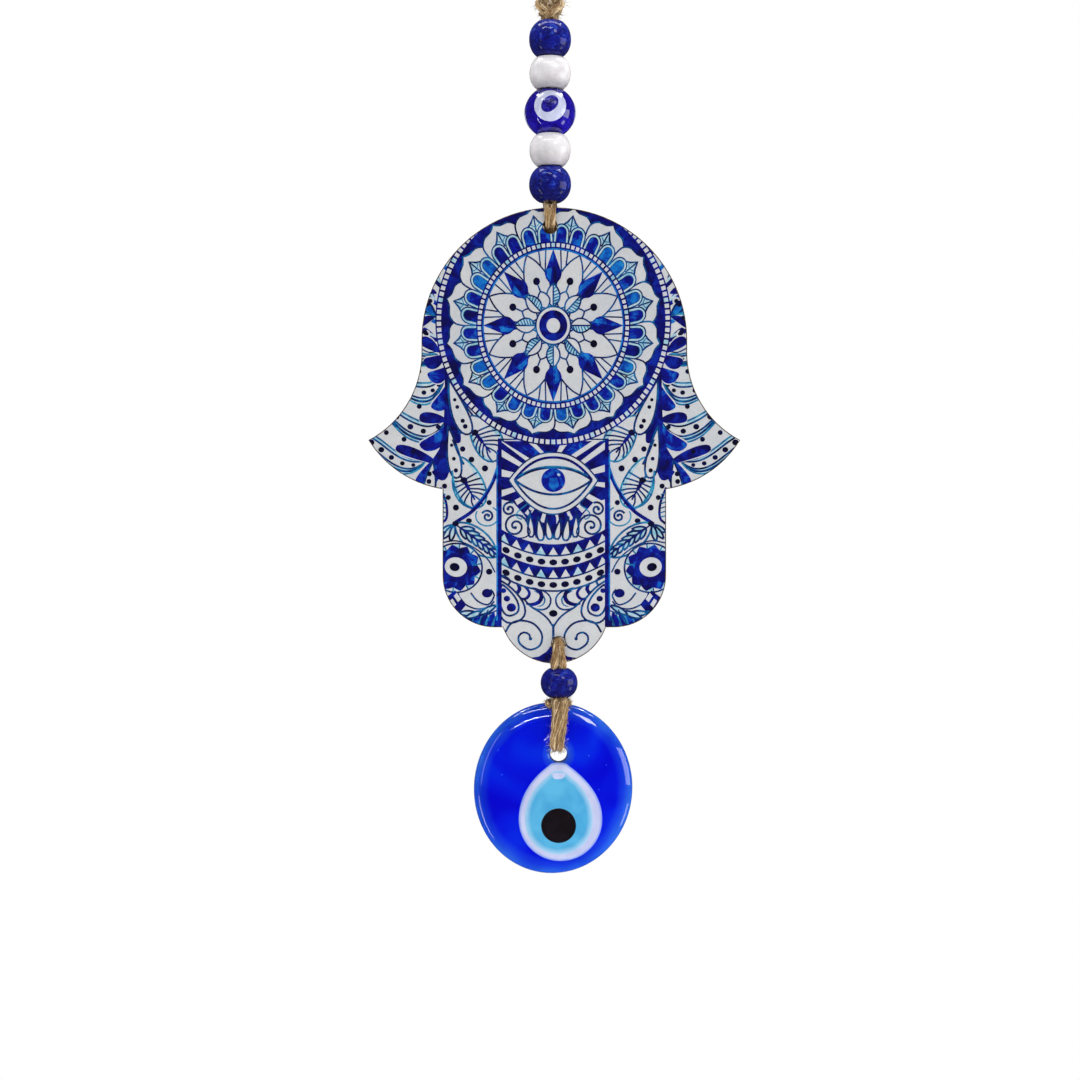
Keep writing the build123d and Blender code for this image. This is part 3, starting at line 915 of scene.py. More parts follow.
def eye_panel(drawing):
    """The middle panel: rays, the eye, and the bands that hang under it."""
    # Rays: a navy field with white bars that point at the eye
    drawing.fill([(-PANEL_HALF, PANEL_TOP), (PANEL_HALF, PANEL_TOP), (PANEL_HALF, 70.0), (6.5, 74.0),
                  (2.5, 77.6), (0, 78.6), (-2.5, 77.6), (-6.5, 74.0), (-PANEL_HALF, 70.0)], NAVY)
    drawing.fill([(-5.5, 55.4), (-2.0, 59.0), (-3.5, 60.0), (-8.0, 56.4)], COBALT_INK, True)
    for angle, half in RAYS:
        turn = math.radians(angle)
        c, s = math.cos(turn), -math.sin(turn)
        below = s > 0.45
        bar = []
        for radius, spread in ((6.2, 0.6), (10.3 if below else 17.0, 1.0 if below else 1.35)):
            for side in ((-1, 1) if radius < 7 else (1, -1)):
                out = side * half * spread
                bar.append((radius * c - out * s, EYE_D + radius * s + out * c))
        bar = [(max(-PANEL_HALF, min(PANEL_HALF, x)), max(PANEL_TOP, d)) for x, d in bar]
        drawing.fill(bar, PAPER)
    # The ground below the rays, with its own drops and curls
    ground = [(PANEL_HALF, 69.2), (9.6, 69.9), (7.2, 72.6), (5.2, 75.6), (2.4, 78.7), (0, 79.3)]
    drawing.fill(ground + [(-x, d) for x, d in reversed(ground[:-1])]
                 + [(-PANEL_HALF, 92.0), (PANEL_HALF, 92.0)], PAPER)
    for base, tip, half in (((1.7, 73.6), (0.75, 78.7), 0.75), ((3.6, 73.2), (2.9, 79.0), 0.85),
                            ((5.5, 72.4), (5.2, 78.2), 0.75)):
        leaf(drawing, base, tip, half, PAPER, LINE, rise=1.3, fall=0.45)
    leaf(drawing, (0, 72.6), (0, 77.6), 0.75, NAVY, both=False, rise=0.5, fall=0.9)
    drawing.stroke(flow((6.0, 71.2), (4.7, 74.2), (4.1, 78.4)), 0.6, NAVY, True, taper=True)
    spiral(drawing, 10.4, 71.6, 1.75, 1.3, -120)
    curves(drawing, (0.32, TEAL, (6.3, 70.4), (8.6, 72.4), (8.4, 73.6), (7.6, 74.0), (7.3, 72.9)))
    spiral(drawing, 9.0, 75.6, 2.95, 1.7, 200)
    curves(drawing, (
        0.34, LINE, (5.2, 71.8), (6.3, 74.4), (5.5, 77.2), (7.2, 78.4), (9.4, 78.2), (11.6, 77.2)))
    # The eye itself
    between(drawing, *almond(10.6, 6.6, 8.1), PAPER, LINE, 0.36, both=False)
    upper, lower = almond(9.2, 5.4, 6.8)
    drawing.stroke(upper, 0.62, NAVY)
    drawing.stroke(lower, 0.5, LINE)
    upper, lower = almond(9.1, 2.9, 3.4)
    drawing.stroke([(x, d - 0.35) for x, d in upper[1:-1]], 0.4, TEAL)
    drawing.stroke(upper, 0.48, LINE)
    drawing.stroke(lower, 0.56, LINE)
    drawing.oval(0, EYE_D, 2.85, 2.8, COBALT_INK)
    drawing.fill([(-0.9, EYE_D - 0.5), (0.9, EYE_D - 0.6), (1.3, EYE_D + 1.2), (0.2, EYE_D + 2.6),
                  (-1.0, EYE_D + 1.5)], MID)
    drawing.oval(1.3, EYE_D - 1.3, 0.4, 0.3, PALE, turn=30)
    # Hanging bands: two rows of dark teeth, each with a row of dots under it
    for top, dots in ((79.9, 84.3), (85.3, 89.65)):
        low = top + 2.75
        drawing.fill(sag_line(top) + sag_line(low)[::-1], NAVY)
        for k in range(9):
            x = -11.6 + 2.9 * k
            drawing.fill([(x - 1.15, sag(x - 1.15, low - 0.1)), (x + 1.15, sag(x + 1.15, low - 0.1)),
                          (x, sag(x, low - 2.05))], PAPER if k % 3 else PALE)
        drawing.stroke(sag_line(low), 0.44, LINE)
        drawing.fill(sag_line(low + 0.2) + sag_line(low + 2.7)[::-1], PAPER)
        for k in range(9):
            x = -11.2 + 2.8 * k
            drawing.oval(x, sag(x, dots - 0.1), 0.95, 0.72, turn=math.degrees(-0.046 * x))


# Scales on one side: hooked lines that open outwards, with their widths and inks
SCALES = (
    (((3.8, 90.6), (1.6, 91.4), (0.6, 92.9), (1.0, 94.6), (2.3, 95.4), (4.2, 95.2), (5.8, 94.3)),
     0.46, LINE),
    (((4.6, 91.0), (2.8, 91.8), (2.0, 93.0), (2.5, 94.3), (3.8, 94.7)), 0.4, TEAL),
    (((5.1, 90.2), (3.4, 91.0), (2.75, 92.2), (3.4, 93.6), (5.0, 94.2), (6.5, 94.0)), 1.0, NAVY),
    (((7.25, 89.7), (6.1, 90.6), (5.65, 91.6), (6.2, 92.6), (7.25, 92.9), (8.75, 92.1)), 0.75, NAVY),
    (((8.75, 89.0), (8.1, 89.9), (8.0, 90.6), (8.4, 91.3), (9.6, 91.2)), 0.95, NAVY),
    (((12.6, 87.0), (10.9, 87.9), (10.25, 88.8), (11.0, 89.7), (12.4, 89.2)), 0.6, LINE),
)


def finger_tip(drawing):
    """The end of the middle finger: scales, hanging drops, two big curls and dark corners."""
    drawing.fill(sag_line(90.9) + [(PANEL_HALF, 108.5), (-PANEL_HALF, 108.5)], PAPER)
    # Scales climb outwards under the band
    for anchors, width, shade in SCALES:
        drawing.stroke(flow(*anchors), width, shade, True, taper=True)
    drawing.stroke(sag_line(91.0), 0.46, LINE)
    # Two-ringed drop with three dots in each outer corner
    leaf(drawing, (12.4, 88.6), (8.7, 98.3), 3.1, PAPER, LINE, rise=0.9, fall=0.4)
    leaf(drawing, (12.2, 89.4), (9.5, 96.7), 2.05, PAPER, LINE, rise=0.9, fall=0.4)
    for x, d, size in ((11.8, 90.9, 0.66), (11.0, 92.8, 0.78), (9.95, 94.9, 1.12)):
        drawing.oval(x, d, size, size * 0.9, NAVY, True)
    # Lines that meet on the axis, the dot over them, and the bar that falls to the cord
    curves(drawing, (0.46, LINE, (7.0, 92.9), (5.1, 94.8), (3.0, 96.1), (1.3, 97.6), (0.1, 99.4)))
    drawing.oval(0, 96.3, 1.02, 0.82)
    drawing.stroke([(0, 98.8), (0, 103.4)], 0.6, LINE)
    # Big curls
    curves(drawing, (
        0.5, LINE, (11.4, 100.8), (10.0, 98.7), (7.6, 98.0), (4.6, 98.8), (2.7, 101.3), (3.2, 103.9),
        (5.6, 104.9), (7.9, 103.5), (8.2, 101.7), (7.0, 100.8), (5.7, 101.3), (5.4, 102.3)))
    drawing.oval(5.4, 102.3, 0.42, colour=LINE, both=True)
    # Dark corners beside the cord, over a scalloped edge
    drawing.fill([(0, 102.4), (0.5, 103.9), (1.7, 105.4), (3.4, 106.5), (5.8, 106.9), (3.6, 108.0),
                  (0, 108.8)], NAVY, True)
    for k in range(7):
        drawing.oval(0.9 + 0.95 * k, 108.1 - 0.045 * k * k, 0.3, colour=PAPER, both=True)


# Sides: stems of comma leaves, dotted crescents towards the thumbs, veined leaves by the panel
COMMAS = (
    ((-27.0, 34.4), (-31.6, 31.2), 1.3, 0.3),
    ((-25.8, 35.0), (-30.6, 37.0), 1.55, -0.7), ((-25.0, 37.8), (-29.6, 40.4), 1.7, -0.9),
    ((-24.9, 41.6), (-28.3, 48.0), 1.8, -1.0), ((-25.0, 50.6), (-31.8, 49.8), 1.35, 0.2),
    ((-25.0, 51.4), (-31.4, 57.0), 1.75, -1.2), ((-27.0, 61.0), (-37.4, 56.9), 1.25, 0.3),
    ((-25.6, 54.8), (-29.4, 62.4), 1.3, -0.9), ((-26.9, 58.8), (-31.8, 66.4), 2.3, -0.6),
    ((-24.9, 40.0), (-22.5, 56.0), 1.25, 0.5), ((-25.1, 51.0), (-26.5, 64.8), 1.65, -0.2),
    ((-27.9, 25.9), (-32.2, 28.2), 1.0, 0.4), ((-27.6, 20.4), (-31.6, 19.4), 1.0, 0.3),
)
# Crescents: centre line, half height, number of dots and their size
CRESCENTS = (
    (((-33.4, 35.4), (-30.0, 36.0), (-27.4, 35.0)), 1.0, 3, 0.44),
    (((-34.4, 43.2), (-31.4, 43.9), (-28.6, 43.4), (-25.8, 40.6)), 1.75, 4, 0.58),
    (((-38.4, 48.6), (-35.6, 51.0), (-32.8, 52.5), (-30.2, 53.1), (-27.8, 52.4), (-25.2, 50.2)),
     1.8, 4, 0.72),
    (((-44.4, 54.9), (-41.4, 57.0), (-38.4, 59.3), (-35.8, 60.7), (-33.2, 61.1), (-30.4, 60.4)),
     1.75, 5, 0.7),
)
LOOSE_DOTS = (
    (-30.4, 29.6), (-31.9, 38.9), (-31.8, 47.2), (-39.6, 53.4), (-35.4, 55.0), (-33.2, 57.9),
    (-29.9, 23.0), (-30.9, 26.2), (-29.4, 63.2), (-29.5, 65.0),
)


def side_sprays(drawing):
    """The sides, from the mandala down: crescents, commas, veined leaves and dotted drops."""
    # Crescents: pale double lines above and below a white band of dots
    for anchors, half, dots, size in CRESCENTS:
        path = flow(*anchors)
        last = len(path) - 1

        def offset_line(share):
            found = []
            for index, (x, d) in enumerate(path):
                swell = math.sin(math.pi * min(1, 0.25 + 0.75 * index / last)) ** 0.6
                found.append((x, d + share * half * swell))
            return found

        for near, far in ((-0.75, -1.3), (0.75, 1.15), (1.25, 1.65)):
            drawing.fill(offset_line(near) + offset_line(far)[::-1], PALE, True)
            drawing.stroke(offset_line(near), 0.46, LINE, True)
            drawing.stroke(offset_line(far), 0.42, TEAL, True)
        for k in range(dots):
            x, d = path[round(last * (0.1 + 0.72 * k / (dots - 1)))]
            grow = size * (1.12 - 0.1 * k)
            drawing.oval(x, d, grow, grow * 0.92, both=True)
    for base, tip, half, bend in COMMAS:
        leaf(drawing, base, tip, half + 0.3, PAPER, rise=0.9, fall=0.36, bend=bend)
    for base, tip, half, bend in COMMAS:
        leaf(drawing, base, tip, half, NAVY if half < 1.7 else COBALT_INK,
             rise=0.72, fall=0.34, bend=bend)
    leaf(drawing, (-28.5, 60.0), (-29.5, 67.6), 1.35, PAPER, LINE, rise=1.1, fall=0.3)
    for x, d in LOOSE_DOTS:
        drawing.oval(x, d, 0.6, both=True)
    curves(drawing, (
        1.7, NAVY, (-26.6, 30.0), (-25.2, 36.0), (-24.9, 42.0), (-25.1, 50.0), (-25.2, 56.0),
        (-25.6, 61.0), (-28.4, 63.4)))
    # Veined leaves, then the dotted drops that lie over them
    curves(
        drawing,
        (1.0, PALE, (-24.2, 40.0), (-21.2, 45.0), (-18.2, 48.6), (-14.4, 51.6)),
        (0.5, LINE, (-24.5, 40.0), (-21.7, 45.6), (-18.9, 49.6), (-17.6, 51.4)),
    )
    veined_leaf(drawing, (-19.6, 49.4), (-13.4, 60.0), 3.5, (-18.6, 53.4), -0.5)
    veined_leaf(drawing, (-22.0, 59.2), (-17.6, 71.2), 3.7, (-21.2, 64.7), 0.6)
    leaf(drawing, (-22.9, 53.6), (-19.0, 52.6), 0.5, LINE)
    leaf(drawing, (-24.0, 61.8), (-21.4, 64.4), 0.5, LINE)
    dotted_drop(drawing, (-24.8, 40.6), (-20.0, 53.8), 1.9, 4, 0.4)
    dotted_drop(drawing, (-24.9, 51.8), (-22.8, 64.2), 1.55, 3)
    curves(drawing, (0.5, LINE, (-23.9, 55.0), (-22.6, 58.2), (-21.2, 61.0)))
    for x, d, size in (
        (-21.5, 57.3, 0.66), (-19.4, 59.8, 0.7), (-16.2, 61.9, 0.75),
        (-25.8, 66.1, 0.62), (-24.9, 68.8, 0.6), (-23.1, 71.2, 0.74),
    ):
        drawing.oval(x, d, size, both=True)
    curves(
        drawing,
        (0.44, TEAL, (-24.0, 62.4), (-23.3, 66.6), (-21.2, 70.2), (-18.4, 71.6)),
        (0.85, NAVY, (-13.0, 57.5), (-12.9, 60.6), (-14.2, 64.8), (-16.7, 69.2), (-19.4, 72.2),
         (-23.2, 74.7)),
        (0.3, MID, (-13.4, 61.6), (-14.8, 65.4), (-17.2, 69.2), (-19.6, 71.6)),
        (0.6, NAVY, (-26.8, 66.4), (-25.4, 70.2), (-25.3, 73.6), (-26.6, 75.0)),
    )
    for k in range(6):
        drawing.stroke([(-26.8, 67.6 + 1.1 * k), (-25.5, 68.2 + 1.05 * k)], 0.32, TEAL, True)


MEDALLION = (-23.0, 85.5)


def round_medallion(wide, high, angle):
    """A point round the small medallion, from half sizes in mm and an angle in degrees."""
    turn = math.radians(angle)
    return (MEDALLION[0] + wide * math.cos(turn), MEDALLION[1] + high * math.sin(turn))


def side_fingers(drawing):
    """The outer fingers: curl, fern, small medallion, diamond and blades."""
    drawing.oval(-15.2, 70.0, 0.62, both=True)
    drawing.oval(-20.0, 74.3, 0.72, 0.6, both=True)
    drawing.stroke(oval_points(-15.7, 73.2, 2.7, 2.35, 0, -60, 210), 0.34, TEAL, True)
    spiral(drawing, -15.6, 73.3, 1.5, 1.3, -150)
    # Fern: a wide leaf with slanting blades, and three short ones at the plate's edge
    leaf(drawing, (-23.2, 75.0), (-13.4, 82.8), 2.7, PAPER, TEAL, rise=0.7, fall=0.7)
    for k in range(6):
        t = 0.12 + 0.14 * k
        x, d = -23.2 + 9.8 * t, 75.2 + 7.0 * t
        reach = 3.6 * (1 - 0.35 * t)
        leaf(drawing, (x, d), (x + reach, d + 0.35 + 0.2 * k), 0.5, PALE, LINE)
        leaf(drawing, (x, d), (x + 0.42 * reach, d + 0.78 * reach), 0.5, PALE, LINE)
    drawing.stroke([(-23.2, 75.2), (-13.6, 82.1)], 0.4, NAVY, True)
    for tip in ((-26.7, 77.0), (-26.2, 78.6), (-24.4, 79.2)):
        leaf(drawing, (-23.5, 75.4), tip, 0.62, PALE, LINE)
    drawing.oval(-23.2, 75.0, 0.8, 0.65, both=True)
    # Medallion
    for wide, shade in ((6.35, LINE), (5.9, PAPER)):
        drawing.oval(*MEDALLION, wide, wide * 0.95, shade, True)
    for k in range(10):
        angle = 36 * k + 8
        drawing.fill([round_medallion(5.9, 5.6, angle), round_medallion(4.2, 4.0, angle + 18),
                      round_medallion(5.9, 5.6, angle + 18)], PALE, True)
    for k in range(10):
        angle = 36 * k + 8
        paint = COBALT_INK if k % 2 else NAVY
        leaf(drawing, MEDALLION, round_medallion(5.9, 5.6, angle), 1.95, paint, rise=1.3, fall=1.0)
        gap = [round_medallion(3.9, 3.7, angle + 18), round_medallion(5.9, 5.6, angle + 18)]
        drawing.stroke(gap, 0.36, TEAL, True)
    drawing.oval(*MEDALLION, 3.7, 3.5, NAVY, True)
    drawing.oval(-23.1, 85.3, 2.65, 2.3, PAPER, True, turn=12)
    drawing.oval(-23.4, 85.3, 1.2, 0.98, DOT, True, turn=12)
    # White band round the medallion, with a dot, a scroll with a heavy head, and a chequered diamond
    drawing.oval(-15.2, 86.4, 0.78, 0.72, both=True)
    drawing.oval(-15.7, 91.5, 1.25, 1.05, NAVY, True)
    curves(
        drawing,
        (0.36, LINE, (-26.8, 79.6), (-23.0, 79.1), (-19.0, 80.6), (-15.6, 83.4), (-13.8, 86.6)),
        (0.42, LINE, (-14.9, 90.6), (-14.0, 92.0), (-15.4, 94.2), (-17.9, 93.4), (-19.6, 91.4)),
        (0.4, LINE, (-22.7, 91.2), (-21.6, 93.6), (-18.4, 95.2), (-15.4, 94.8), (-14.0, 93.4)),
    )
    drawing.fill([(-25.6, 92.6), (-23.3, 90.8), (-20.6, 94.2), (-22.9, 97.0)], NAVY, True)
    drawing.fill([(-23.6, 92.2), (-22.9, 91.4), (-21.9, 92.9), (-22.6, 93.6)], PAPER, True)
    drawing.fill([(-24.6, 93.3), (-23.9, 92.8), (-23.0, 94.2), (-23.7, 94.9)], PAPER, True)
    curves(drawing, (0.36, LINE, (-22.8, 95.8), (-19.4, 95.9), (-16.8, 96.9), (-13.4, 95.6)))
    for k in range(5):
        x = -20.6 + 1.7 * k
        paint = COBALT_INK if k % 2 else NAVY
        leaf(drawing, (x, 100.2), (x + 1.5, 96.2 - 0.1 * k), 0.8, paint)
        leaf(drawing, (x + 0.9, 100.2), (x + 2.4, 96.8 - 0.1 * k), 0.3, PALE, TEAL)
    for start, end in (
        ((-22.4, 96.2), (-17.6, 96.4)), ((-21.0, 97.4), (-16.4, 95.8)), ((-17.6, 96.6), (-13.6, 94.4)),
    ):
        leaf(drawing, start, end, 0.62, PALE, LINE)
    drawing.stroke([(-15.4, 95.4), (-17.8, 99.6)], 0.3, LINE, True)


def flanks(drawing):
    """Leaves that lean out from the mandala's rim; the plate's edge cuts them off."""
    for k in range(11):
        angle = -100 + 8.4 * k
        paint = (NAVY, MID, COBALT_INK)[k % 3]
        foot, tip = polar(27.6, angle), polar(31.6, angle + 7)
        leaf(drawing, foot, tip, 0.95, paint, rise=0.8, fall=0.4)
        leaf(drawing, polar(27.6, angle + 2), polar(30.4, angle + 5.4), 0.3, PALE)
    for x, d in ((-29.2, 22.2), (-30.1, 30.0), (-29.3, 17.0), (-27.4, 11.4)):
        drawing.oval(x, d, 0.95, colour=PAPER, both=True)
        drawing.oval(x, d, 0.55, both=True)
    leaf(drawing, (-28.0, 25.9), (-30.9, 22.4), 1.0, MID, LINE, rise=0.8, fall=0.45)
    leaf(drawing, (-28.0, 25.9), (-32.0, 25.6), 0.5, PALE, TEAL)
    curves(drawing, (0.34, LINE, (-31.6, 33.4), (-29.4, 34.4), (-27.2, 34.0)))
    # A line from the mandala's rim down to the veined leaves
    curves(drawing, (0.5, MID, (-26.2, 33.0), (-24.4, 38.8), (-21.0, 44.2), (-17.0, 48.4)))


def mirrored_bounds(drawing):
    """The heavy lines that frame the panel on both sides."""
    drawing.stroke([(PANEL_HALF + 0.1, PANEL_TOP - 0.6), (PANEL_HALF + 0.1, 99.4)], 0.95, NAVY, True)
    drawing.stroke([(PANEL_HALF + 0.75, 58.0), (PANEL_HALF + 0.75, 98.0)], 0.36, MID, True)
    drawing.stroke([(-PANEL_HALF, PANEL_TOP - 0.4), (PANEL_HALF, PANEL_TOP - 0.4)], 0.34, LINE)


def printed_design():
    """Every shape of the print, lowest first."""
    drawing = Drawing()
    flanks(drawing)
    side_sprays(drawing)
    side_fingers(drawing)
    eye_panel(drawing)
    finger_tip(drawing)
    mirrored_bounds(drawing)
    mandala(drawing)
    return drawing.shapes


def front_loops(node):
    """The boundary loops of a flat sheet's front face: (x, z) points in mm, longest loop first."""
    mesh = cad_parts[node].data
    front = box_mm(node)[0].y
    edges = set()
    for polygon in mesh.polygons:
        corners = [mesh.vertices[index].co / MM for index in polygon.vertices]
        if all(abs(corner.y - front) < 0.01 for corner in corners):
            spots = [(round(corner.x, 3), round(corner.z, 3)) for corner in corners]
            edges.update(zip(spots, spots[1:] + spots[:1]))
    return traced_loops(open_edges(edges))


def open_edges(edges):
    """The edges that no second face shares: a map from each one's start to its end."""
    return {a: b for a, b in edges if (b, a) not in edges}


def traced_loops(after):
    """The loops in a map from each corner to the next one, longest loop first."""
    after = dict(after)
    loops = []
    while after:
        spot = min(after)
        loop = []
        while spot in after:
            loop.append(spot)
            spot = after.pop(spot)
        loops.append(loop)
    return sorted(loops, key=len, reverse=True)


def anticlockwise(loop):
    """The loop's points, turned round if they run clockwise."""
    area = sum(a[0] * b[1] - b[0] * a[1] for a, b in zip(loop, loop[1:] + loop[:1]))
    return loop if area > 0 else loop[::-1]


def solve_regions(rings, hole_count):
    """Cuts the plane along every ring. Returns points, and (triangle, topmost ring) inside ring 0."""
    points, faces = [], []
    for ring in rings:
        faces.append(list(range(len(points), len(points) + len(ring))))
        points.extend(ring)
    found = delaunay_2d_cdt([Vector(p) for p in points], [], faces, 0, 1e-5)
    first_hole = len(rings) - hole_count
    kept = []
    for triangle, sources in zip(found[2], found[5]):
        if 0 in sources and max(sources) < first_hole:
            kept.append((list(triangle), max(sources)))
    return found[0], kept


# How far right of the sheet's middle the design was laid
DESIGN_SHIFT = -0.25


def printed_sheet():
    """The printed face: every inked region is a part of one flat, closed sheet."""
    low, high = box_mm("printed_face")
    loops = [anticlockwise(loop) for loop in front_loops("printed_face")]
    axis, top = (low.x + high.x) / 2 + DESIGN_SHIFT, high.z
    edge = Drawing()
    for loop in loops:
        edge.stroke([(x - axis, top - z) for x, z in loop], 0.44, SCORCH, closed=True)
    shapes = printed_design() + edge.shapes
    rings = [loops[0]]
    rings += [anticlockwise([(axis + x, top - d) for x, d in outline]) for outline, _ in shapes]
    spots, kept = solve_regions(rings + loops[1:], len(loops) - 1)
    colours = [PAPER] + [colour for _, colour in shapes]
    points = [(p.x, low.y, p.y) for p in spots]
    faces = [triangle for triangle, _ in kept]
    inks = [colours[source] for _, source in kept]
    # The cut edge and the back
    rim = open_edges({edge for face in faces for edge in zip(face, face[1:] + face[:1])})
    behind = {}
    for index in rim:
        behind[index] = len(points)
        points.append((spots[index].x, high.y, spots[index].y))
    for a, b in rim.items():
        faces.append([a, behind[a], behind[b], b])
        inks.append(SCORCH)
    back_loops = traced_loops(rim)
    back_rings = [anticlockwise([(spots[i].x, spots[i].y) for i in loop]) for loop in back_loops]
    for loop, ring in zip(back_loops, back_rings):
        if (spots[loop[0]].x, spots[loop[0]].y) != ring[0]:
            loop.reverse()
    order = [index for loop in back_loops for index in loop]
    _, back = solve_regions(back_rings, len(back_rings) - 1)
    for triangle, _ in back:
        faces.append([behind[order[index]] for index in reversed(triangle)])
        inks.append(PAPER)
    sheet = link_mesh("printed_sheet", points, faces, INKS, inks, smooth=False)
    return place(sheet, "hamsa", "printed_paper", "printed_face")


printed_sheet()
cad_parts["hamsa_plate"].data.materials.clear()
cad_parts["hamsa_plate"].data.materials.append(BOARD)


# ---------------------------------------------------------------- beads

def ring_solid(name, rings, material):
    """A closed mesh from rings of points that join end to end, the last to the first."""
    points = [p for ring in rings for p in ring]
    return link_mesh(name, points, skin(len(rings), len(rings[0]), joined=True, inward=True), [material])


BORE = 1.8
MOUTH = 3.1


def turned_bead(name, centre, radius, half, mouth, material, wobble, seed, pits=0.0, full=1.0):
    """A turned bead: a full oval outside with rounded mouths, and a bore. Slightly uneven all over.
    full is 1 for a true oval, and less for squarer shoulders."""
    start = math.acos((mouth / radius) ** (1 / full))
    bulge = half / math.sin(start) ** full
    outline = []
    rows = 44
    for k in range(rows + 1):
        angle = start * (1 - 2 * k / rows)
        rise = math.copysign(abs(math.sin(angle)) ** full, angle)
        outline.append((radius * math.cos(angle) ** full, bulge * rise))
    for share in (0.02, 0.3, 0.7, 1.0):
        turn = share * math.pi / 2
        outline.append((mouth - (mouth - BORE) * math.sin(turn), -half + 0.3 * (1 - math.cos(turn))))
    for share in (-0.5, 0.0, 0.5):
        outline.append((BORE, share * half))
    for share in (1.0, 0.7, 0.3, 0.02):
        turn = share * math.pi / 2
        outline.append((mouth - (mouth - BORE) * math.sin(turn), half - 0.3 * (1 - math.cos(turn))))
    rings = []
    for reach, rise in outline:
        ring = []
        for n in range(96):
            angle = 2 * math.pi * n / 96
            spot = Vector((reach * math.cos(angle), reach * math.sin(angle), rise))
            if reach > mouth + 0.01:
                broad = noise.noise(spot * 0.22 + Vector((seed, 0, 0)))
                fine = noise.noise(spot * 0.9 + Vector((0, seed, 0)))
                dent = min(0.0, noise.noise(spot * 1.7 + Vector((0, 0, seed))) + 0.35)
                spot *= 1 + wobble * (broad + 0.25 * fine) + pits * dent
            ring.append(centre + spot)
        rings.append(ring)
    return ring_solid(name, rings[::-1], material)


for bead_name, bead_material, bead_mouth, bead_wobble, bead_pits, bead_seed in (
    ("blue_bead_top", BLUE_WOOD, 2.9, 0.010, 0.015, 3.1),
    ("white_bead_upper", WHITE, 3.1, 0.012, 0.0, 9.4),
    ("white_bead_lower", WHITE, 3.1, 0.012, 0.0, 21.7),
    ("blue_bead_lower", BLUE_WOOD, 2.6, 0.010, 0.015, 33.9),
    ("lower_bead", BLUE_WOOD, 2.2, 0.009, 0.015, 45.2),
):
    bead_low, bead_high = box_mm(bead_name)
    bead_middle = (bead_low + bead_high) / 2
    bead = turned_bead(
        bead_name + "_look", bead_middle, (bead_high.x - bead_low.x) / 2, (bead_high.z - bead_low.z) / 2,
        bead_mouth, bead_material, bead_wobble, bead_seed, bead_pits, full=0.93)
    place(bead, bead_name, "white_bead" if bead_material is WHITE else "blue_wood", bead_name)


def eye_patch(centre, size, bulge, angle, wide, high, tilt, shift, proud, depth):
    """One inlaid oval on the eye bead: a lens whose rim sinks just under the bead's surface."""
    forward = Vector((math.cos(angle), math.sin(angle), 0))
    right = Vector((-math.sin(angle), math.cos(angle), 0))
    up = Vector((0, 0, 1))
    around = 56
    c, s = math.cos(tilt), math.sin(tilt)
    points = []

    def spot(share, turn, lift):
        a, b = share * wide * math.cos(turn), share * high * math.sin(turn)
        u, v = shift[0] + a * c - b * s, shift[1] + a * s + b * c
        out = size * math.sqrt(max(0.0, 1 - (u / size) ** 2 - (v / bulge) ** 2))
        return centre + forward * (out + lift) + right * u + up * v

    profile = [(share, proud * math.sqrt(max(0, 1 - share ** 6)) - 0.02) for share in
               (0.15, 0.35, 0.55, 0.7, 0.8, 0.88, 0.94, 0.975, 0.995)]
    profile += [(1.0, -0.15), (0.97, -depth), (0.5, -depth)]
    for share, lift in profile:
        points += [spot(share, 2 * math.pi * n / around, lift) for n in range(around)]
    points += [spot(0, 0, proud - 0.02), spot(0, 0, -depth)]
    return points, capped_skin(len(profile), around)


def eye_bead_pieces():
    """The cobalt glass bead with its three eyes."""
    low, high = box_mm("eye_bead")
    centre = (low + high) / 2
    size, half = (high.z - low.z) / 2 * 6.05 / 5.25, (high.z - low.z) / 2
    bulge = half / math.sqrt(1 - (MOUTH / size) ** 2)
    body = turned_bead("eye_bead_look", centre, size, half, MOUTH, COBALT, 0.0, 5.0)
    place(body, "eye_bead", "cobalt_glass", "eye_bead")
    # Each eye is laid by hand: its ring is off centre, and its pupil leans
    eyes = (
        (-90, (0.0, 0.72), 3.8, 3.78, 0.8),
        (30, (-0.2, 0.2), 3.6, 3.8, 0.4),
        (150, (0.3, -0.3), 3.8, 3.6, 1.4),
    )
    rings, pupils, hearts = [], [], []
    for degrees, shift, wide, tall, tilt in eyes:
        angle = math.radians(degrees)
        rings.append(eye_patch(centre, size, bulge, angle, wide, tall, tilt, shift, 0.16, 0.9))
        inner = (shift[0] - 0.1, shift[1] + 0.3)
        pupils.append(eye_patch(centre, size, bulge, angle, 2.5, 1.85, tilt, inner, 0.27, 1.2))
        hearts.append(eye_patch(centre, size, bulge, angle, 1.35, 0.9, tilt, inner, 0.32, 1.4))
    for patches, name, material, slot, nodes in (
        (rings, "eye_bead_rings_look", MILK_GLASS, "white_glass", ["eye_bead_rings"]),
        (pupils, "eye_bead_pupils_look", PUPIL_GLASS, "cobalt_glass", ["eye_bead_pupils"]),
        (hearts, "eye_bead_pupil_hearts", NAVY_GLASS, "cobalt_glass", []),
    ):
        place(link_mesh(name, *gathered(patches), [material]), "eye_bead", slot, *nodes)


eye_bead_pieces()


# ---------------------------------------------------------------- glass eye disc

DISC_LOW, DISC_HIGH = box_mm("glass_disc")
DISC_MIDDLE = (DISC_LOW + DISC_HIGH) / 2
DISC_HALF = (DISC_HIGH - DISC_LOW) / 2
DISC_LEAN = math.radians(-3.0)
DISC_HOLE = Vector((DISC_MIDDLE.x + 1.3, 0, DISC_MIDDLE.z + 8.3))
HOLE_R = 2.0
DOME_R = 160.0
SHOULDER = 4.6
SHOULDER_DROP = 2.3
AROUND = 220


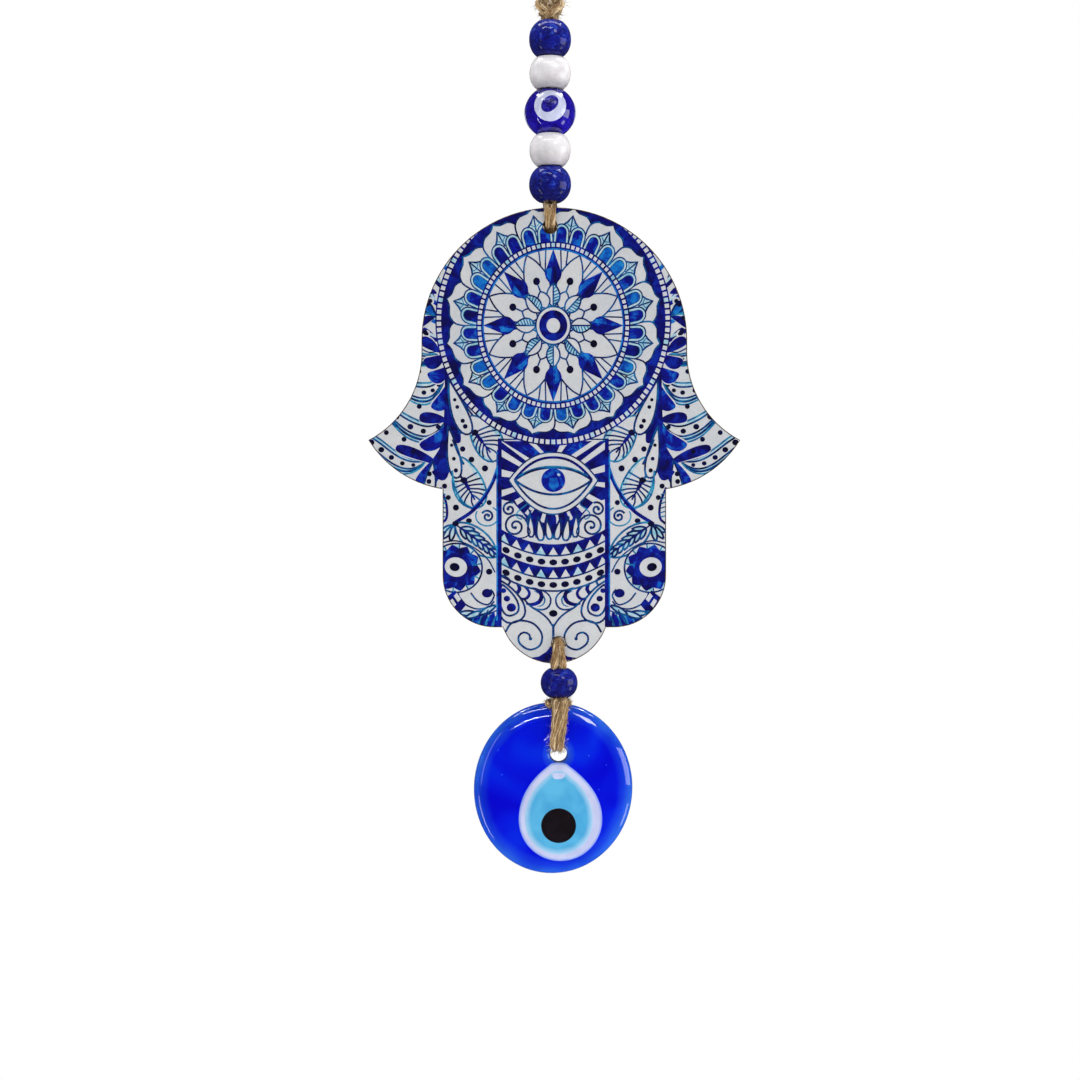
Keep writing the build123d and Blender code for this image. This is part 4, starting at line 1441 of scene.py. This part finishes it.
def disc_place(x, z):
    """(share of the way from the disc's centre to its outline, angle round the disc)."""
    c, s = math.cos(DISC_LEAN), math.sin(DISC_LEAN)
    u, v = x - DISC_MIDDLE.x, z - DISC_MIDDLE.z
    across, up = (u * c + v * s) / DISC_HALF.x, (v * c - u * s) / DISC_HALF.z
    angle = math.atan2(up, across)
    return math.hypot(across, up) / uneven(angle), angle


def uneven(angle):
    """The poured outline wanders slightly from a true oval."""
    return 0.999 + 0.002 * math.sin(2 * angle + 0.8) + 0.002 * math.sin(3 * angle + 2.0)


def disc_outline(k):
    """Point k of AROUND on the disc's outline."""
    angle = 2 * math.pi * k / AROUND
    a, b = DISC_HALF.x * uneven(angle) * math.cos(angle), DISC_HALF.z * uneven(angle) * math.sin(angle)
    c, s = math.cos(DISC_LEAN), math.sin(DISC_LEAN)
    return Vector((DISC_MIDDLE.x + a * c - b * s, 0, DISC_MIDDLE.z + a * s + b * c))


def edge_distance(x, z):
    """How far a point lies inside the disc's outline, about, in millimetres."""
    return (1 - disc_place(x, z)[0]) * 19.5


def front_of_disc(x, z):
    """The melted front: a shallow dome, a broad round shoulder, and a raised ring round the hole."""
    away = (x - DISC_MIDDLE.x) ** 2 + (z - DISC_MIDDLE.z) ** 2
    y = DISC_LOW.y + DOME_R - math.sqrt(DOME_R ** 2 - away)
    inside = max(0.0, 1 - max(0.0, edge_distance(x, z)) / SHOULDER)
    y += SHOULDER_DROP * (1 - math.sqrt(max(0.0, 1 - inside ** 2.4)))
    to_hole = math.hypot(x - DISC_HOLE.x, z - DISC_HOLE.z) - HOLE_R
    y -= 0.4 * math.exp(-((to_hole - 1.7) / 0.85) ** 2)
    y -= 0.07 * math.exp(-((edge_distance(x, z) - 6.2) / 0.8) ** 2) * max(0.0, math.sin(disc_place(x, z)[1]))
    return y + 0.07 * noise.noise(Vector((x * 0.14, 4.2, z * 0.14)))


def glass_disc_piece():
    """The blue disc: domed front, round shoulder and rim, nearly flat back, and its hole."""
    back_r, lip_r = 1.6, 0.8
    rows = []
    for turn in range(9):
        angle = math.pi / 2 * turn / 8
        rows.append(("hole", lip_r * (1 - math.cos(angle)), lip_r * (1 - math.sin(angle)), 1))
    for share in (0.03, 0.06, 0.09, 0.13, 0.17, 0.22, 0.29, 0.37, 0.46, 0.55, 0.64, 0.73, 0.82, 0.91):
        rows.append(("span", share, 0.0, 1))
    for turn in range(17):
        rows.append(("edge", SHOULDER * (1 - math.sin(math.pi / 2 * turn / 16)), 0.0, 1))
    for turn in range(9):
        angle = math.pi / 2 * (1 - turn / 8)
        rows.append(("edge", back_r * (1 - math.sin(angle)), back_r * (1 - math.cos(angle)), -1))
    for share in (0.95, 0.8, 0.6, 0.4, 0.2, 0.08):
        rows.append(("span", share, 0.0, -1))
    for turn in range(6):
        angle = math.pi / 2 * (1 - turn / 5)
        rows.append(("hole", 0.6 * (1 - math.cos(angle)), 0.6 * (1 - math.sin(angle)), -1))
    rings, edge_mm = [], []
    for kind, value, drop, face in rows:
        ring = []
        for k in range(AROUND):
            rim = disc_outline(k)
            out = rim - DISC_HOLE
            reach = out.length
            out.normalize()
            lean = (DISC_HALF.x / DISC_HALF.z) ** 2
            normal = Vector((rim.x - DISC_MIDDLE.x, 0, (rim.z - DISC_MIDDLE.z) * lean))
            slant = max(0.45, out.dot(normal.normalized()))
            inner = HOLE_R + lip_r
            outer = reach - (SHOULDER if face > 0 else back_r) / slant
            if kind == "hole":
                far = HOLE_R + value
            elif kind == "span":
                far = inner + (outer - inner) * value
            else:
                far = reach - value / slant
            spot = DISC_HOLE + out * far
            if face > 0:
                y = front_of_disc(spot.x, spot.z) + drop
            else:
                y = DISC_HIGH.y - drop + 0.04 * noise.noise(Vector((spot.x * 0.16, 4.2, spot.z * 0.16)))
            ring.append((spot.x, y, spot.z))
            edge_mm.append(min(max(0.0, edge_distance(spot.x, spot.z)), 1.5 * (far - HOLE_R) + 0.5))
        rings.append(ring)
    disc = ring_solid("glass_disc_look", rings, DISC_BLUE)
    add_values(disc, "edge_mm", edge_mm)
    return place(disc, "glass_eye", "blue_glass", "glass_disc")


def bezier(a, b, c, d):
    """Points on the curve from a to d that b and c pull on, without d itself."""
    found = []
    for k in range(26):
        t = k / 26
        found.append(tuple(
            (1 - t) ** 3 * p + 3 * t * (1 - t) ** 2 * q + 3 * t * t * (1 - t) * r + t ** 3 * s
            for p, q, r, s in zip(a, b, c, d)))
    return found


def teardrop_outline(radius, across, down, neck, neck_down, shoulder):
    """A drop that hangs from a narrow neck. Points are (x, z) from the hole's centre."""
    left = bezier((-neck, -neck_down), (-neck - 3.2, -neck_down - 2.4),
                  (across - radius, -shoulder), (across - radius, -down))
    bowl = [(across - radius * math.cos(math.pi * k / 44), -down - radius * math.sin(math.pi * k / 44))
            for k in range(45)]
    right = bezier((neck, -neck_down), (neck + 3.2, -neck_down - 2.4),
                   (across + radius, -shoulder), (across + radius, -down))
    head = [(neck * math.cos(math.pi * k / 10), -neck_down + 0.22 * neck * math.sin(math.pi * k / 10))
            for k in range(1, 10)]
    return left + bowl + right[:0:-1] + right[:1] + head


def pool_piece(name, outline, middle_down, across, proud, layer, depth, material, slot, node):
    """A pool of glass fused into the disc's front. Its rim rounds down to the surface round it."""
    swell = 0.75
    centre = Vector((DISC_HOLE.x + across, 0, DISC_HOLE.z - middle_down))
    around = len(outline)
    steps = [(0.0, -0.35), (0.02, -0.02), (0.12, 0.35), (0.3, 0.62), (0.6, 0.85), (1.0, 0.97), (1.6, 1.0),
             (2.2, 1.0), (2.8, 1.0)]
    rows = []
    for inset, rise in steps:
        rows.append((inset, None, rise))
    for share in (0.8, 0.62, 0.44, 0.28, 0.14):
        rows.append((None, share, 1.0))
    points, edge_mm = [], []
    for inset, share, rise in rows:
        for x, z in outline:
            rim = Vector((DISC_HOLE.x + x, 0, DISC_HOLE.z + z))
            out = rim - centre
            reach = out.length
            far = reach - inset * swell if share is None else (reach - 2.8 * swell) * share
            spot = centre + out / reach * far
            points.append((spot.x, front_of_disc(spot.x, spot.z) - layer - proud * rise, spot.z))
            edge_mm.append(reach - far)
    faces = skin(len(rows), around)
    points.append((centre.x, front_of_disc(centre.x, centre.z) - layer - proud, centre.z))
    last = (len(rows) - 1) * around
    for n in range(around):
        faces.append((last + n, last + (n + 1) % around, len(points) - 1))
    # The sunk sides and the back
    first = len(points)
    for x, z in outline:
        points.append((DISC_HOLE.x + x, DISC_LOW.y + depth, DISC_HOLE.z + z))
    points.append((centre.x, DISC_LOW.y + depth, centre.z))
    for n in range(around):
        m = (n + 1) % around
        faces.append((n, first + n, first + m, m))
        faces.append((first + m, first + n, len(points) - 1))
    pool = link_mesh(name, points, faces, [material])
    edge_mm += [9.0] * (len(points) - len(edge_mm))
    add_values(pool, "edge_mm", edge_mm)
    return place(pool, "glass_eye", slot, node)


def glass_eye_pieces():
    """The disc, its three fused pools, and bubbles caught under the surface."""
    glass_disc_piece()
    pool_piece("eye_white_look", teardrop_outline(9.9, 0.45, 15.5, 2.1, 2.45, 9.0), 15.5, 0.45,
               0.10, 0.0, 2.4, POOL_WHITE, "white_glass", "eye_white")
    pool_piece("eye_light_blue_look", teardrop_outline(8.05, 0.05, 15.75, 1.3, 4.1, 9.6), 15.75, 0.05,
               0.07, 0.10, 1.9, POOL_BLUE, "light_blue_glass", "eye_light_blue")
    turns = [2 * math.pi * k / 90 for k in range(90)]
    pupil = [(4.15 * math.cos(turn), -16.9 - 4.15 * math.sin(turn)) for turn in turns]
    pool_piece("eye_pupil_look", anticlockwise(pupil), 16.9, 0.0, 0.07, 0.17, 1.4, POOL_BLACK,
               "black_glass", "eye_pupil")
    # Small bubbles caught under the glass stand out as tiny domes
    points, faces = [], []
    draw_random = random.Random(8)
    for _ in range(9):
        angle, reach = draw_random.uniform(0, 2 * math.pi), draw_random.uniform(0.5, 0.86)
        x = DISC_MIDDLE.x + DISC_HALF.x * reach * math.cos(angle)
        z = DISC_MIDDLE.z + DISC_HALF.z * reach * math.sin(angle)
        size = draw_random.uniform(0.09, 0.2)
        dots, sides = ball(Vector((x, front_of_disc(x, z) + 0.35 * size, z)), size)
        points, faces = gathered([(points, faces), (dots, sides)])
    place(link_mesh("glass_bubbles", points, faces, [DISC_BUBBLE]), "glass_eye", "blue_glass")


def ball(centre, size):
    """A small closed ball."""
    around, rows = 14, 8
    points = []
    for row in range(1, rows):
        tilt = math.pi * row / rows
        for n in range(around):
            turn = 2 * math.pi * n / around
            points.append(centre + size * Vector((
                math.sin(tilt) * math.cos(turn), math.sin(tilt) * math.sin(turn), math.cos(tilt))))
    points += [centre + Vector((0, 0, size)), centre - Vector((0, 0, size))]
    return points, capped_skin(rows - 1, around)


glass_eye_pieces()


# ---------------------------------------------------------------- jute pieces

def along(*values):
    """A size that changes along a cord: evenly spaced values, blended."""
    def at(t):
        place_along = t * (len(values) - 1)
        index = min(int(place_along), len(values) - 2)
        share = place_along - index
        share = share * share * (3 - 2 * share)
        return values[index] * (1 - share) + values[index + 1] * share
    return at


def hanging_loop_piece():
    """The loop the ornament hangs by."""
    low, high = box_mm("hanging_loop")
    bend = (high.x - low.x) / 2 - 1.3
    twine = Twine(3)
    side = [(1.25, 0.0, low.z - 1.6), (1.45, 0.05, low.z + 3), (3.2, 0.15, low.z + 15),
            (5.2, -0.1, low.z + 27), (7.6, 0.1, high.z - 18.0), (bend - 0.1, 0.0, high.z - 11.5),
            (6.6, 0.0, high.z - 4.2),
            (3.4, 0, high.z - 1.75)]
    path = side + [(0, 0, high.z - 1.2)] + [(-x, -y, z) for x, y, z in reversed(side)]
    twine.hairy_cord(path, 1.2, fuzz=(1.1, 2.2, 1.9), pitch=11.0, strands=20)
    piece = twine.piece("hanging_loop_look")
    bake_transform(piece)
    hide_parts("hanging_loop")


def upper_knot_piece():
    """The knot over the beads."""
    low, high = box_mm("upper_knot")
    twine = Twine(7)
    # Four strands crowd into the bead and spread upwards, and pass over each other on the way
    for x_top, x_low, y, y_top, hand in (
        (-3.0, 0.9, -1.0, 0.2, 1), (2.9, -0.9, -1.3, -0.1, -1),
        (-1.1, -0.6, 1.0, -0.5, -1), (1.0, 0.7, 0.9, -0.7, 1),
    ):
        path = [(x_low, 0.2 * y, low.z - 0.5), (1.15 * x_low, 0.8 * y, low.z + 0.6),
                (0.35 * x_low + 0.2 * x_top, 1.2 * y, low.z + 2.0),
                (0.75 * x_top, 0.8 * y, high.z - 1.3), (x_top, y_top, high.z + 0.1)]
        width = along(0.85, 1.1, 1.15, 1.05, 0.7)
        twine.hairy_cord(path, width, fuzz=(0.95, 14.0, 2.2), pitch=16.0, strands=30, hand=hand)
    # A short wrap goes behind, and closes the knot
    path = []
    for k in range(13):
        angle = math.radians(-40 + 300 * k / 12)
        path.append((2.0 * math.cos(angle), 1.7 * math.sin(angle), low.z + 2.6 - 1.1 * k / 12))
    twine.hairy_cord(path, 0.85, fuzz=(0.85, 6.0, 1.8), pitch=10.0, strands=18)
    # Long hairs: most run up and out, some hang over the bead
    for _ in range(170):
        angle = twine.random.uniform(0, 2 * math.pi)
        share = twine.random.uniform(0.1, 1.0)
        reach = 1.2 + 1.3 * share
        height = low.z + share * (high.z - low.z)
        start = Vector((reach * math.cos(angle), 0.75 * reach * math.sin(angle), height))
        out = Vector((0.5 * math.cos(angle), 0.5 * math.sin(angle), twine.random.choice((-1.2, 1.0, 1.4))))
        twine.fibre(start, out, twine.random.uniform(1.2, 3.6), 1.5, twine.random.uniform(0.05, 0.09))
    place(twine.piece("upper_knot_look"), "upper_knot", "jute", "upper_knot")


def inner_cord_piece(node, seed):
    """The two squeezed cords inside the beads."""
    low, high = box_mm(node)
    centre = (low + high) / 2
    twine = Twine(seed)
    for side in (-1, 1):
        path = [(centre.x + side * 0.85, centre.y, high.z - (high.z - low.z) * k / 8) for k in range(9)]
        twine.cord(path, 0.85, 1.4, strands=12)
    place(twine.piece(node + "_look"), node, "jute", node)


# How far the plate's two holes lie under its top edge
TOP_HOLE_DOWN = 4.5
LOW_HOLE_DOWN = 103.5


def plate_faces():
    """Front and back of the plate with its print, and its top edge."""
    high = box_mm("hamsa_plate")[1]
    return box_mm("printed_face")[0].y, high.y, high.z


def plate_loop_piece():
    """The cord from the upper beads round the plate's top edge, through its top hole and back."""
    high = box_mm("plate_loop")[1]
    front, back, top = plate_faces()
    hole_z = top - TOP_HOLE_DOWN
    twine = Twine(13)
    # Two strands leave the beads together, cross the plate's edge and dive through the hole
    for side in (-1, 1):
        path = [
            (0.8 * side, 0.1, high.z + 0.2), (0.76 * side, -0.8, high.z - 0.6),
            (0.62 * side, front - 0.7, high.z - 2.0), (0.6 * side, front - 0.85, hole_z + 2.6),
            (0.6 * side, front - 0.75, hole_z + 1.6), (0.58 * side, front, hole_z + 0.55),
            (0.6 * side, -0.6, hole_z + 0.2),
        ]
        deep = along(0.9, 0.85, 0.85, 0.85, 0.8)
        twine.hairy_cord(path, along(0.8, 0.8, 0.78, 0.74, 0.66), deep, fuzz=(0.75, 6.0, 1.3))
        path = [
            (0.6 * side, 0.4, hole_z + 0.1), (0.65 * side, back - 0.1, hole_z + 0.2),
            (0.72 * side, back + 0.85, hole_z + 1.0), (0.78 * side, back + 1.0, hole_z + 2.6),
            (0.8 * side, back + 0.7, high.z - 1.9), (0.8 * side, 0.9, high.z - 0.6),
            (0.8 * side, 0.35, high.z + 0.2),
        ]
        twine.hairy_cord(path, 0.88, fuzz=(0.85, 5.0, 1.3))
    twine.plug(0, hole_z, front, back)
    place(twine.piece("plate_loop_look"), "plate_loop", "jute", "plate_loop")


def lower_plate_loop_piece():
    """The cord through the plate's lower hole, round its lower edge and down to the lower bead."""
    low, high = box_mm("lower_plate_loop")
    x = (low.x + high.x) / 2
    front, back, top = plate_faces()
    hole_z = top - LOW_HOLE_DOWN
    twine = Twine(17)
    # The strands part like a tent between the hole and the bead
    for side in (-1, 1):
        path = [
            (x + 0.8 * side, 0.0, low.z - 0.9), (x + 0.95 * side, -1.0, low.z + 0.1),
            (x + 0.98 * side, front - 0.7, low.z + 1.4), (x + 0.8 * side, front - 0.95, low.z + 3.2),
            (x + 0.46 * side, front - 0.85, hole_z + 0.2), (x + 0.36 * side, front, hole_z + 0.9),
            (x + 0.4 * side, -0.6, hole_z + 0.6),
        ]
        deep = along(0.9, 0.95, 0.95, 0.85, 0.6)
        twine.hairy_cord(path, along(0.8, 0.95, 0.95, 0.75, 0.52), deep, fuzz=(0.85, 6.0, 1.4))
        path = [
            (x + 0.6 * side, 0.4, hole_z), (x + 0.68 * side, back - 0.1, hole_z),
            (x + 0.75 * side, back + 0.85, hole_z - 1.2), (x + 0.85 * side, back + 1.0, low.z + 2.6),
            (x + 0.88 * side, back + 0.5, low.z + 1.0), (x + 0.8 * side, 0.6, low.z - 0.1),
        ]
        twine.hairy_cord(path, 0.9, fuzz=(0.85, 5.0, 1.3))
    twine.plug(x, hole_z, front, back)
    place(twine.piece("lower_plate_loop_look"), "lower_plate_loop", "jute", "lower_plate_loop")


def lower_knot_piece():
    """The small knot under the lower bead. It swings with the cord that holds the disc."""
    low, high = box_mm("lower_knot")
    x = (low.x + high.x) / 2
    twine = Twine(23)
    # A squashed overhand knot under the bead: it passes behind, and shows as a lump on each side
    path = [(x - 2.0, -1.9, high.z - 1.5), (x - 2.45, -0.6, high.z - 1.0), (x - 2.2, 1.2, high.z - 0.8),
            (x - 1.2, 2.7, high.z - 0.9), (x, 3.2, high.z - 1.0), (x + 1.2, 2.7, high.z - 0.9),
            (x + 2.2, 1.2, high.z - 0.75), (x + 2.5, -0.6, high.z - 0.95), (x + 2.0, -1.8, high.z - 1.3)]
    twine.hairy_cord(path, 0.82, fuzz=(0.8, 9.0, 1.8), strands=20, pitch=9.0)
    for side in (-1, 1):
        path = [(x + side * 0.75, 0.9 * side, high.z + 1.6), (x + side * 0.8, 0.9 * side, high.z + 0.2),
                (x + side * 0.9, 1.5 * side, high.z - 0.6), (x + side * 0.6, 2.4 * side, high.z - 1.1)]
        twine.hairy_cord(path, along(0.7, 0.9, 1.0, 0.9), fuzz=(0.85, 6.0, 1.3), strands=16)
    place(twine.piece("lower_knot_look"), "glass_loop", "jute", "lower_knot")


def glass_loop_piece():
    """The cord from the small knot through the disc's hole and back."""
    low, high = box_mm("glass_loop")
    knot_low, knot_high = (corner.z for corner in box_mm("lower_knot"))
    x = (low.x + high.x) / 2
    hole = DISC_HOLE
    disc_front, disc_back = DISC_LOW.y, DISC_HIGH.y
    twine = Twine(29)
    # The front strand is broad, made of two cords side by side, and leans to the left as it falls
    for side in (-1, 1):
        path = [
            (x + 0.3 + 0.8 * side, -0.6, knot_high + 0.7),
            (x + 0.3 + 0.9 * side, -1.9, knot_high - 0.35),
            (x + 0.3 + 0.9 * side, disc_front - 0.75, knot_high - 1.6),
            (x + 0.25 + 0.85 * side, disc_front - 1.15, knot_low - 1.2),
            (x + 0.1 + 0.82 * side, disc_front - 1.2, knot_low - 4.0),
            (x - 0.2 + 0.8 * side, disc_front - 1.15, knot_low - 6.6),
            (x - 0.45 + 0.72 * side, disc_front - 0.8, hole.z + 2.5),
            (hole.x - 0.3 + 0.62 * side, disc_front + 0.5, hole.z + 1.45),
            (hole.x - 0.1 + 0.6 * side, -0.6, hole.z + 1.2), (hole.x + 0.6 * side, 0.8, hole.z + 1.2),
            (hole.x + 0.65 * side, disc_back - 0.1, hole.z + 1.35),
            (x + 0.8 * side, disc_back + 0.95, hole.z + 2.6),
            (x + 0.85 * side, disc_back + 1.05, hole.z + 6.0),
            (x + 0.85 * side, disc_back + 0.9, knot_low + 1.2),
        ]
        wide = along(0.9, 1.1, 1.1, 1.05, 0.98, 0.85, 0.7, 0.7, 0.9, 1.0, 1.0)
        deep = along(0.9, 1.1, 1.1, 1.05, 1.0, 0.9, 0.75, 0.7, 0.9, 1.0, 1.0)
        twine.hairy_cord(path, wide, deep, fuzz=(1.05, 6.5, 1.7), strands=30)
    place(twine.piece("glass_loop_look"), "glass_loop", "jute", "glass_loop")


hanging_loop_piece()
upper_knot_piece()
inner_cord_piece("bead_cord", 11)
plate_loop_piece()
lower_plate_loop_piece()
inner_cord_piece("lower_cord", 19)
lower_knot_piece()
glass_loop_piece()


# ---------------------------------------------------------------- floor, light and camera

def plain_material(name, shade):
    """A matt pale sheet. The camera sees it evenly white, and sees through it from behind and below."""
    shader = Shader(name, Roughness=0.9)
    cloud = shader.noise(400.0, 2.0)
    tones = [(place, (tone, tone, tone, 1)) for place, tone in ((0.3, shade), (0.7, shade * 1.01))]
    shader.colour(shader.ramp(cloud, tones))
    shader.base.inputs["Emission Color"].default_value = (1, 1, 1, 1)
    shader.base.inputs["Emission Strength"].default_value = 0.3
    even = shader.node("ShaderNodeEmission").outputs["Emission"]
    clear = shader.node("ShaderNodeBsdfTransparent").outputs["BSDF"]
    behind = shader.node("ShaderNodeNewGeometry").outputs["Backfacing"]
    direct = shader.node("ShaderNodeLightPath").outputs["Is Camera Ray"]
    seen = shader.node("ShaderNodeMixShader")
    surface = shader.node("ShaderNodeMixShader")
    for mixed, factor, first, second in (
        (seen, behind, even, clear), (surface, direct, shader.base.outputs["BSDF"], seen.outputs["Shader"]),
    ):
        shader.link(factor, mixed.inputs[0])
        shader.link(first, mixed.inputs[1])
        shader.link(second, mixed.inputs[2])
    shader.link(surface.outputs["Shader"], shader.tree.nodes["Material Output"].inputs["Surface"])
    return shader.material


def studio():
    """A pale sweep under and behind the ornament, which hangs in front of it."""
    floor_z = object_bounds()[0].z / MM - 60
    back_y, bend = 550, 350
    profile = [(-1600, floor_z), (back_y - bend, floor_z)]
    for k in range(1, 13):
        turn = math.pi / 2 * k / 12
        profile.append((back_y - bend + bend * math.sin(turn), floor_z + bend * (1 - math.cos(turn))))
    profile.append((back_y, floor_z + 1600))
    points = [(x, y, z) for x in (-2200, 2200) for y, z in profile]
    count = len(profile)
    faces = [(k, count + k, count + k + 1, k + 1) for k in range(count - 1)]
    sweep = link_mesh("sweep", points, faces, [plain_material("sweep", 0.93)])
    sweep.visible_glossy = False


def area_light(name, spot, aim, wide, high, power, spread=180):
    """A rectangular lamp, placed and sized in metres."""
    data = bpy.data.lights.new(name, "AREA")
    data.spread = math.radians(spread)
    data.shape = "RECTANGLE"
    data.size, data.size_y = wide, high
    data.energy = power
    lamp = bpy.data.objects.new(name, data)
    lamp.location = spot
    lamp.rotation_euler = (Vector(aim) - Vector(spot)).to_track_quat("-Z", "Y").to_euler()
    bpy.context.collection.objects.link(lamp)


def studio_air(strength, mirrored, seen):
    """Even pale light from all round. Glossy surfaces see a much darker room, so their colours stay
    deep, and the camera sees a pale one past the end of the sweep."""
    world = bpy.data.worlds.new("studio_air")
    world.use_nodes = True
    tree = world.node_tree
    background = tree.nodes["Background"]
    background.inputs["Color"].default_value = (1, 1, 1, 1)
    rays = tree.nodes.new("ShaderNodeLightPath")
    blend = tree.nodes.new("ShaderNodeMapRange")
    blend.inputs["To Min"].default_value = strength
    blend.inputs["To Max"].default_value = mirrored
    tree.links.new(rays.outputs["Is Glossy Ray"], blend.inputs["Value"])
    direct = tree.nodes.new("ShaderNodeMapRange")
    direct.inputs["To Max"].default_value = seen
    tree.links.new(rays.outputs["Is Camera Ray"], direct.inputs["Value"])
    tree.links.new(blend.outputs["Result"], direct.inputs["To Min"])
    tree.links.new(direct.outputs["Result"], background.inputs["Strength"])
    bpy.context.scene.world = world


studio()
studio_air(0.38, 0.04, 1.0)
area_light("key_right", (0.5, -0.85, 0.55), (0, 0, -0.16), 0.3, 0.3, 2.9)
area_light("fill_left", (-0.95, -0.75, 0.05), (0, 0, -0.18), 0.12, 0.8, 0.55)
area_light("strip_above", (-0.1, -0.3, 0.32), (0, 0, -0.22), 0.42, 0.018, 0.7)
area_light("disc_strip", (-0.12, -0.62, 0.06), (0, 0, -0.245), 0.4, 0.004, 0.02, spread=26)
area_light("side_panel", (0.6, -0.14, -0.14), (0, 0, -0.2), 0.46, 0.3, 1.3)
area_light("low_strip", (-0.5, -0.2, -0.5), (0, 0, -0.24), 0.02, 0.3, 0.3)
area_light("rim_left", (-0.34, 0.16, 0.42), (0, 0, -0.1), 0.07, 0.05, 0.35)
area_light("rim_right", (0.3, 0.14, 0.42), (0, 0, -0.1), 0.07, 0.05, 0.35)
area_light("low_panel", (0.5, -0.05, -0.46), (0, 0, -0.09), 0.16, 0.16, 0.25)
area_light("wall_wash", (0.0, 0.1, 0.9), (0, 0.55, -0.1), 1.6, 0.3, 12)

bpy.context.scene.view_settings.view_transform = "Standard"

# The camera looks straight at the front, level with the middle of the view
VIEW_MIDDLE = Vector((-0.0024, 0, -0.1835))
VIEW_WIDTH = 0.257
camera_data = bpy.data.cameras.new("front_camera")
camera_data.lens = 75
camera_data.sensor_width = 36
camera = bpy.data.objects.new("front_camera", camera_data)
distance = VIEW_WIDTH * camera_data.lens / camera_data.sensor_width
camera.location = (VIEW_MIDDLE.x, -distance, VIEW_MIDDLE.z)
camera.rotation_euler = (math.pi / 2, 0, 0)
bpy.context.collection.objects.link(camera)
bpy.context.scene.camera = camera
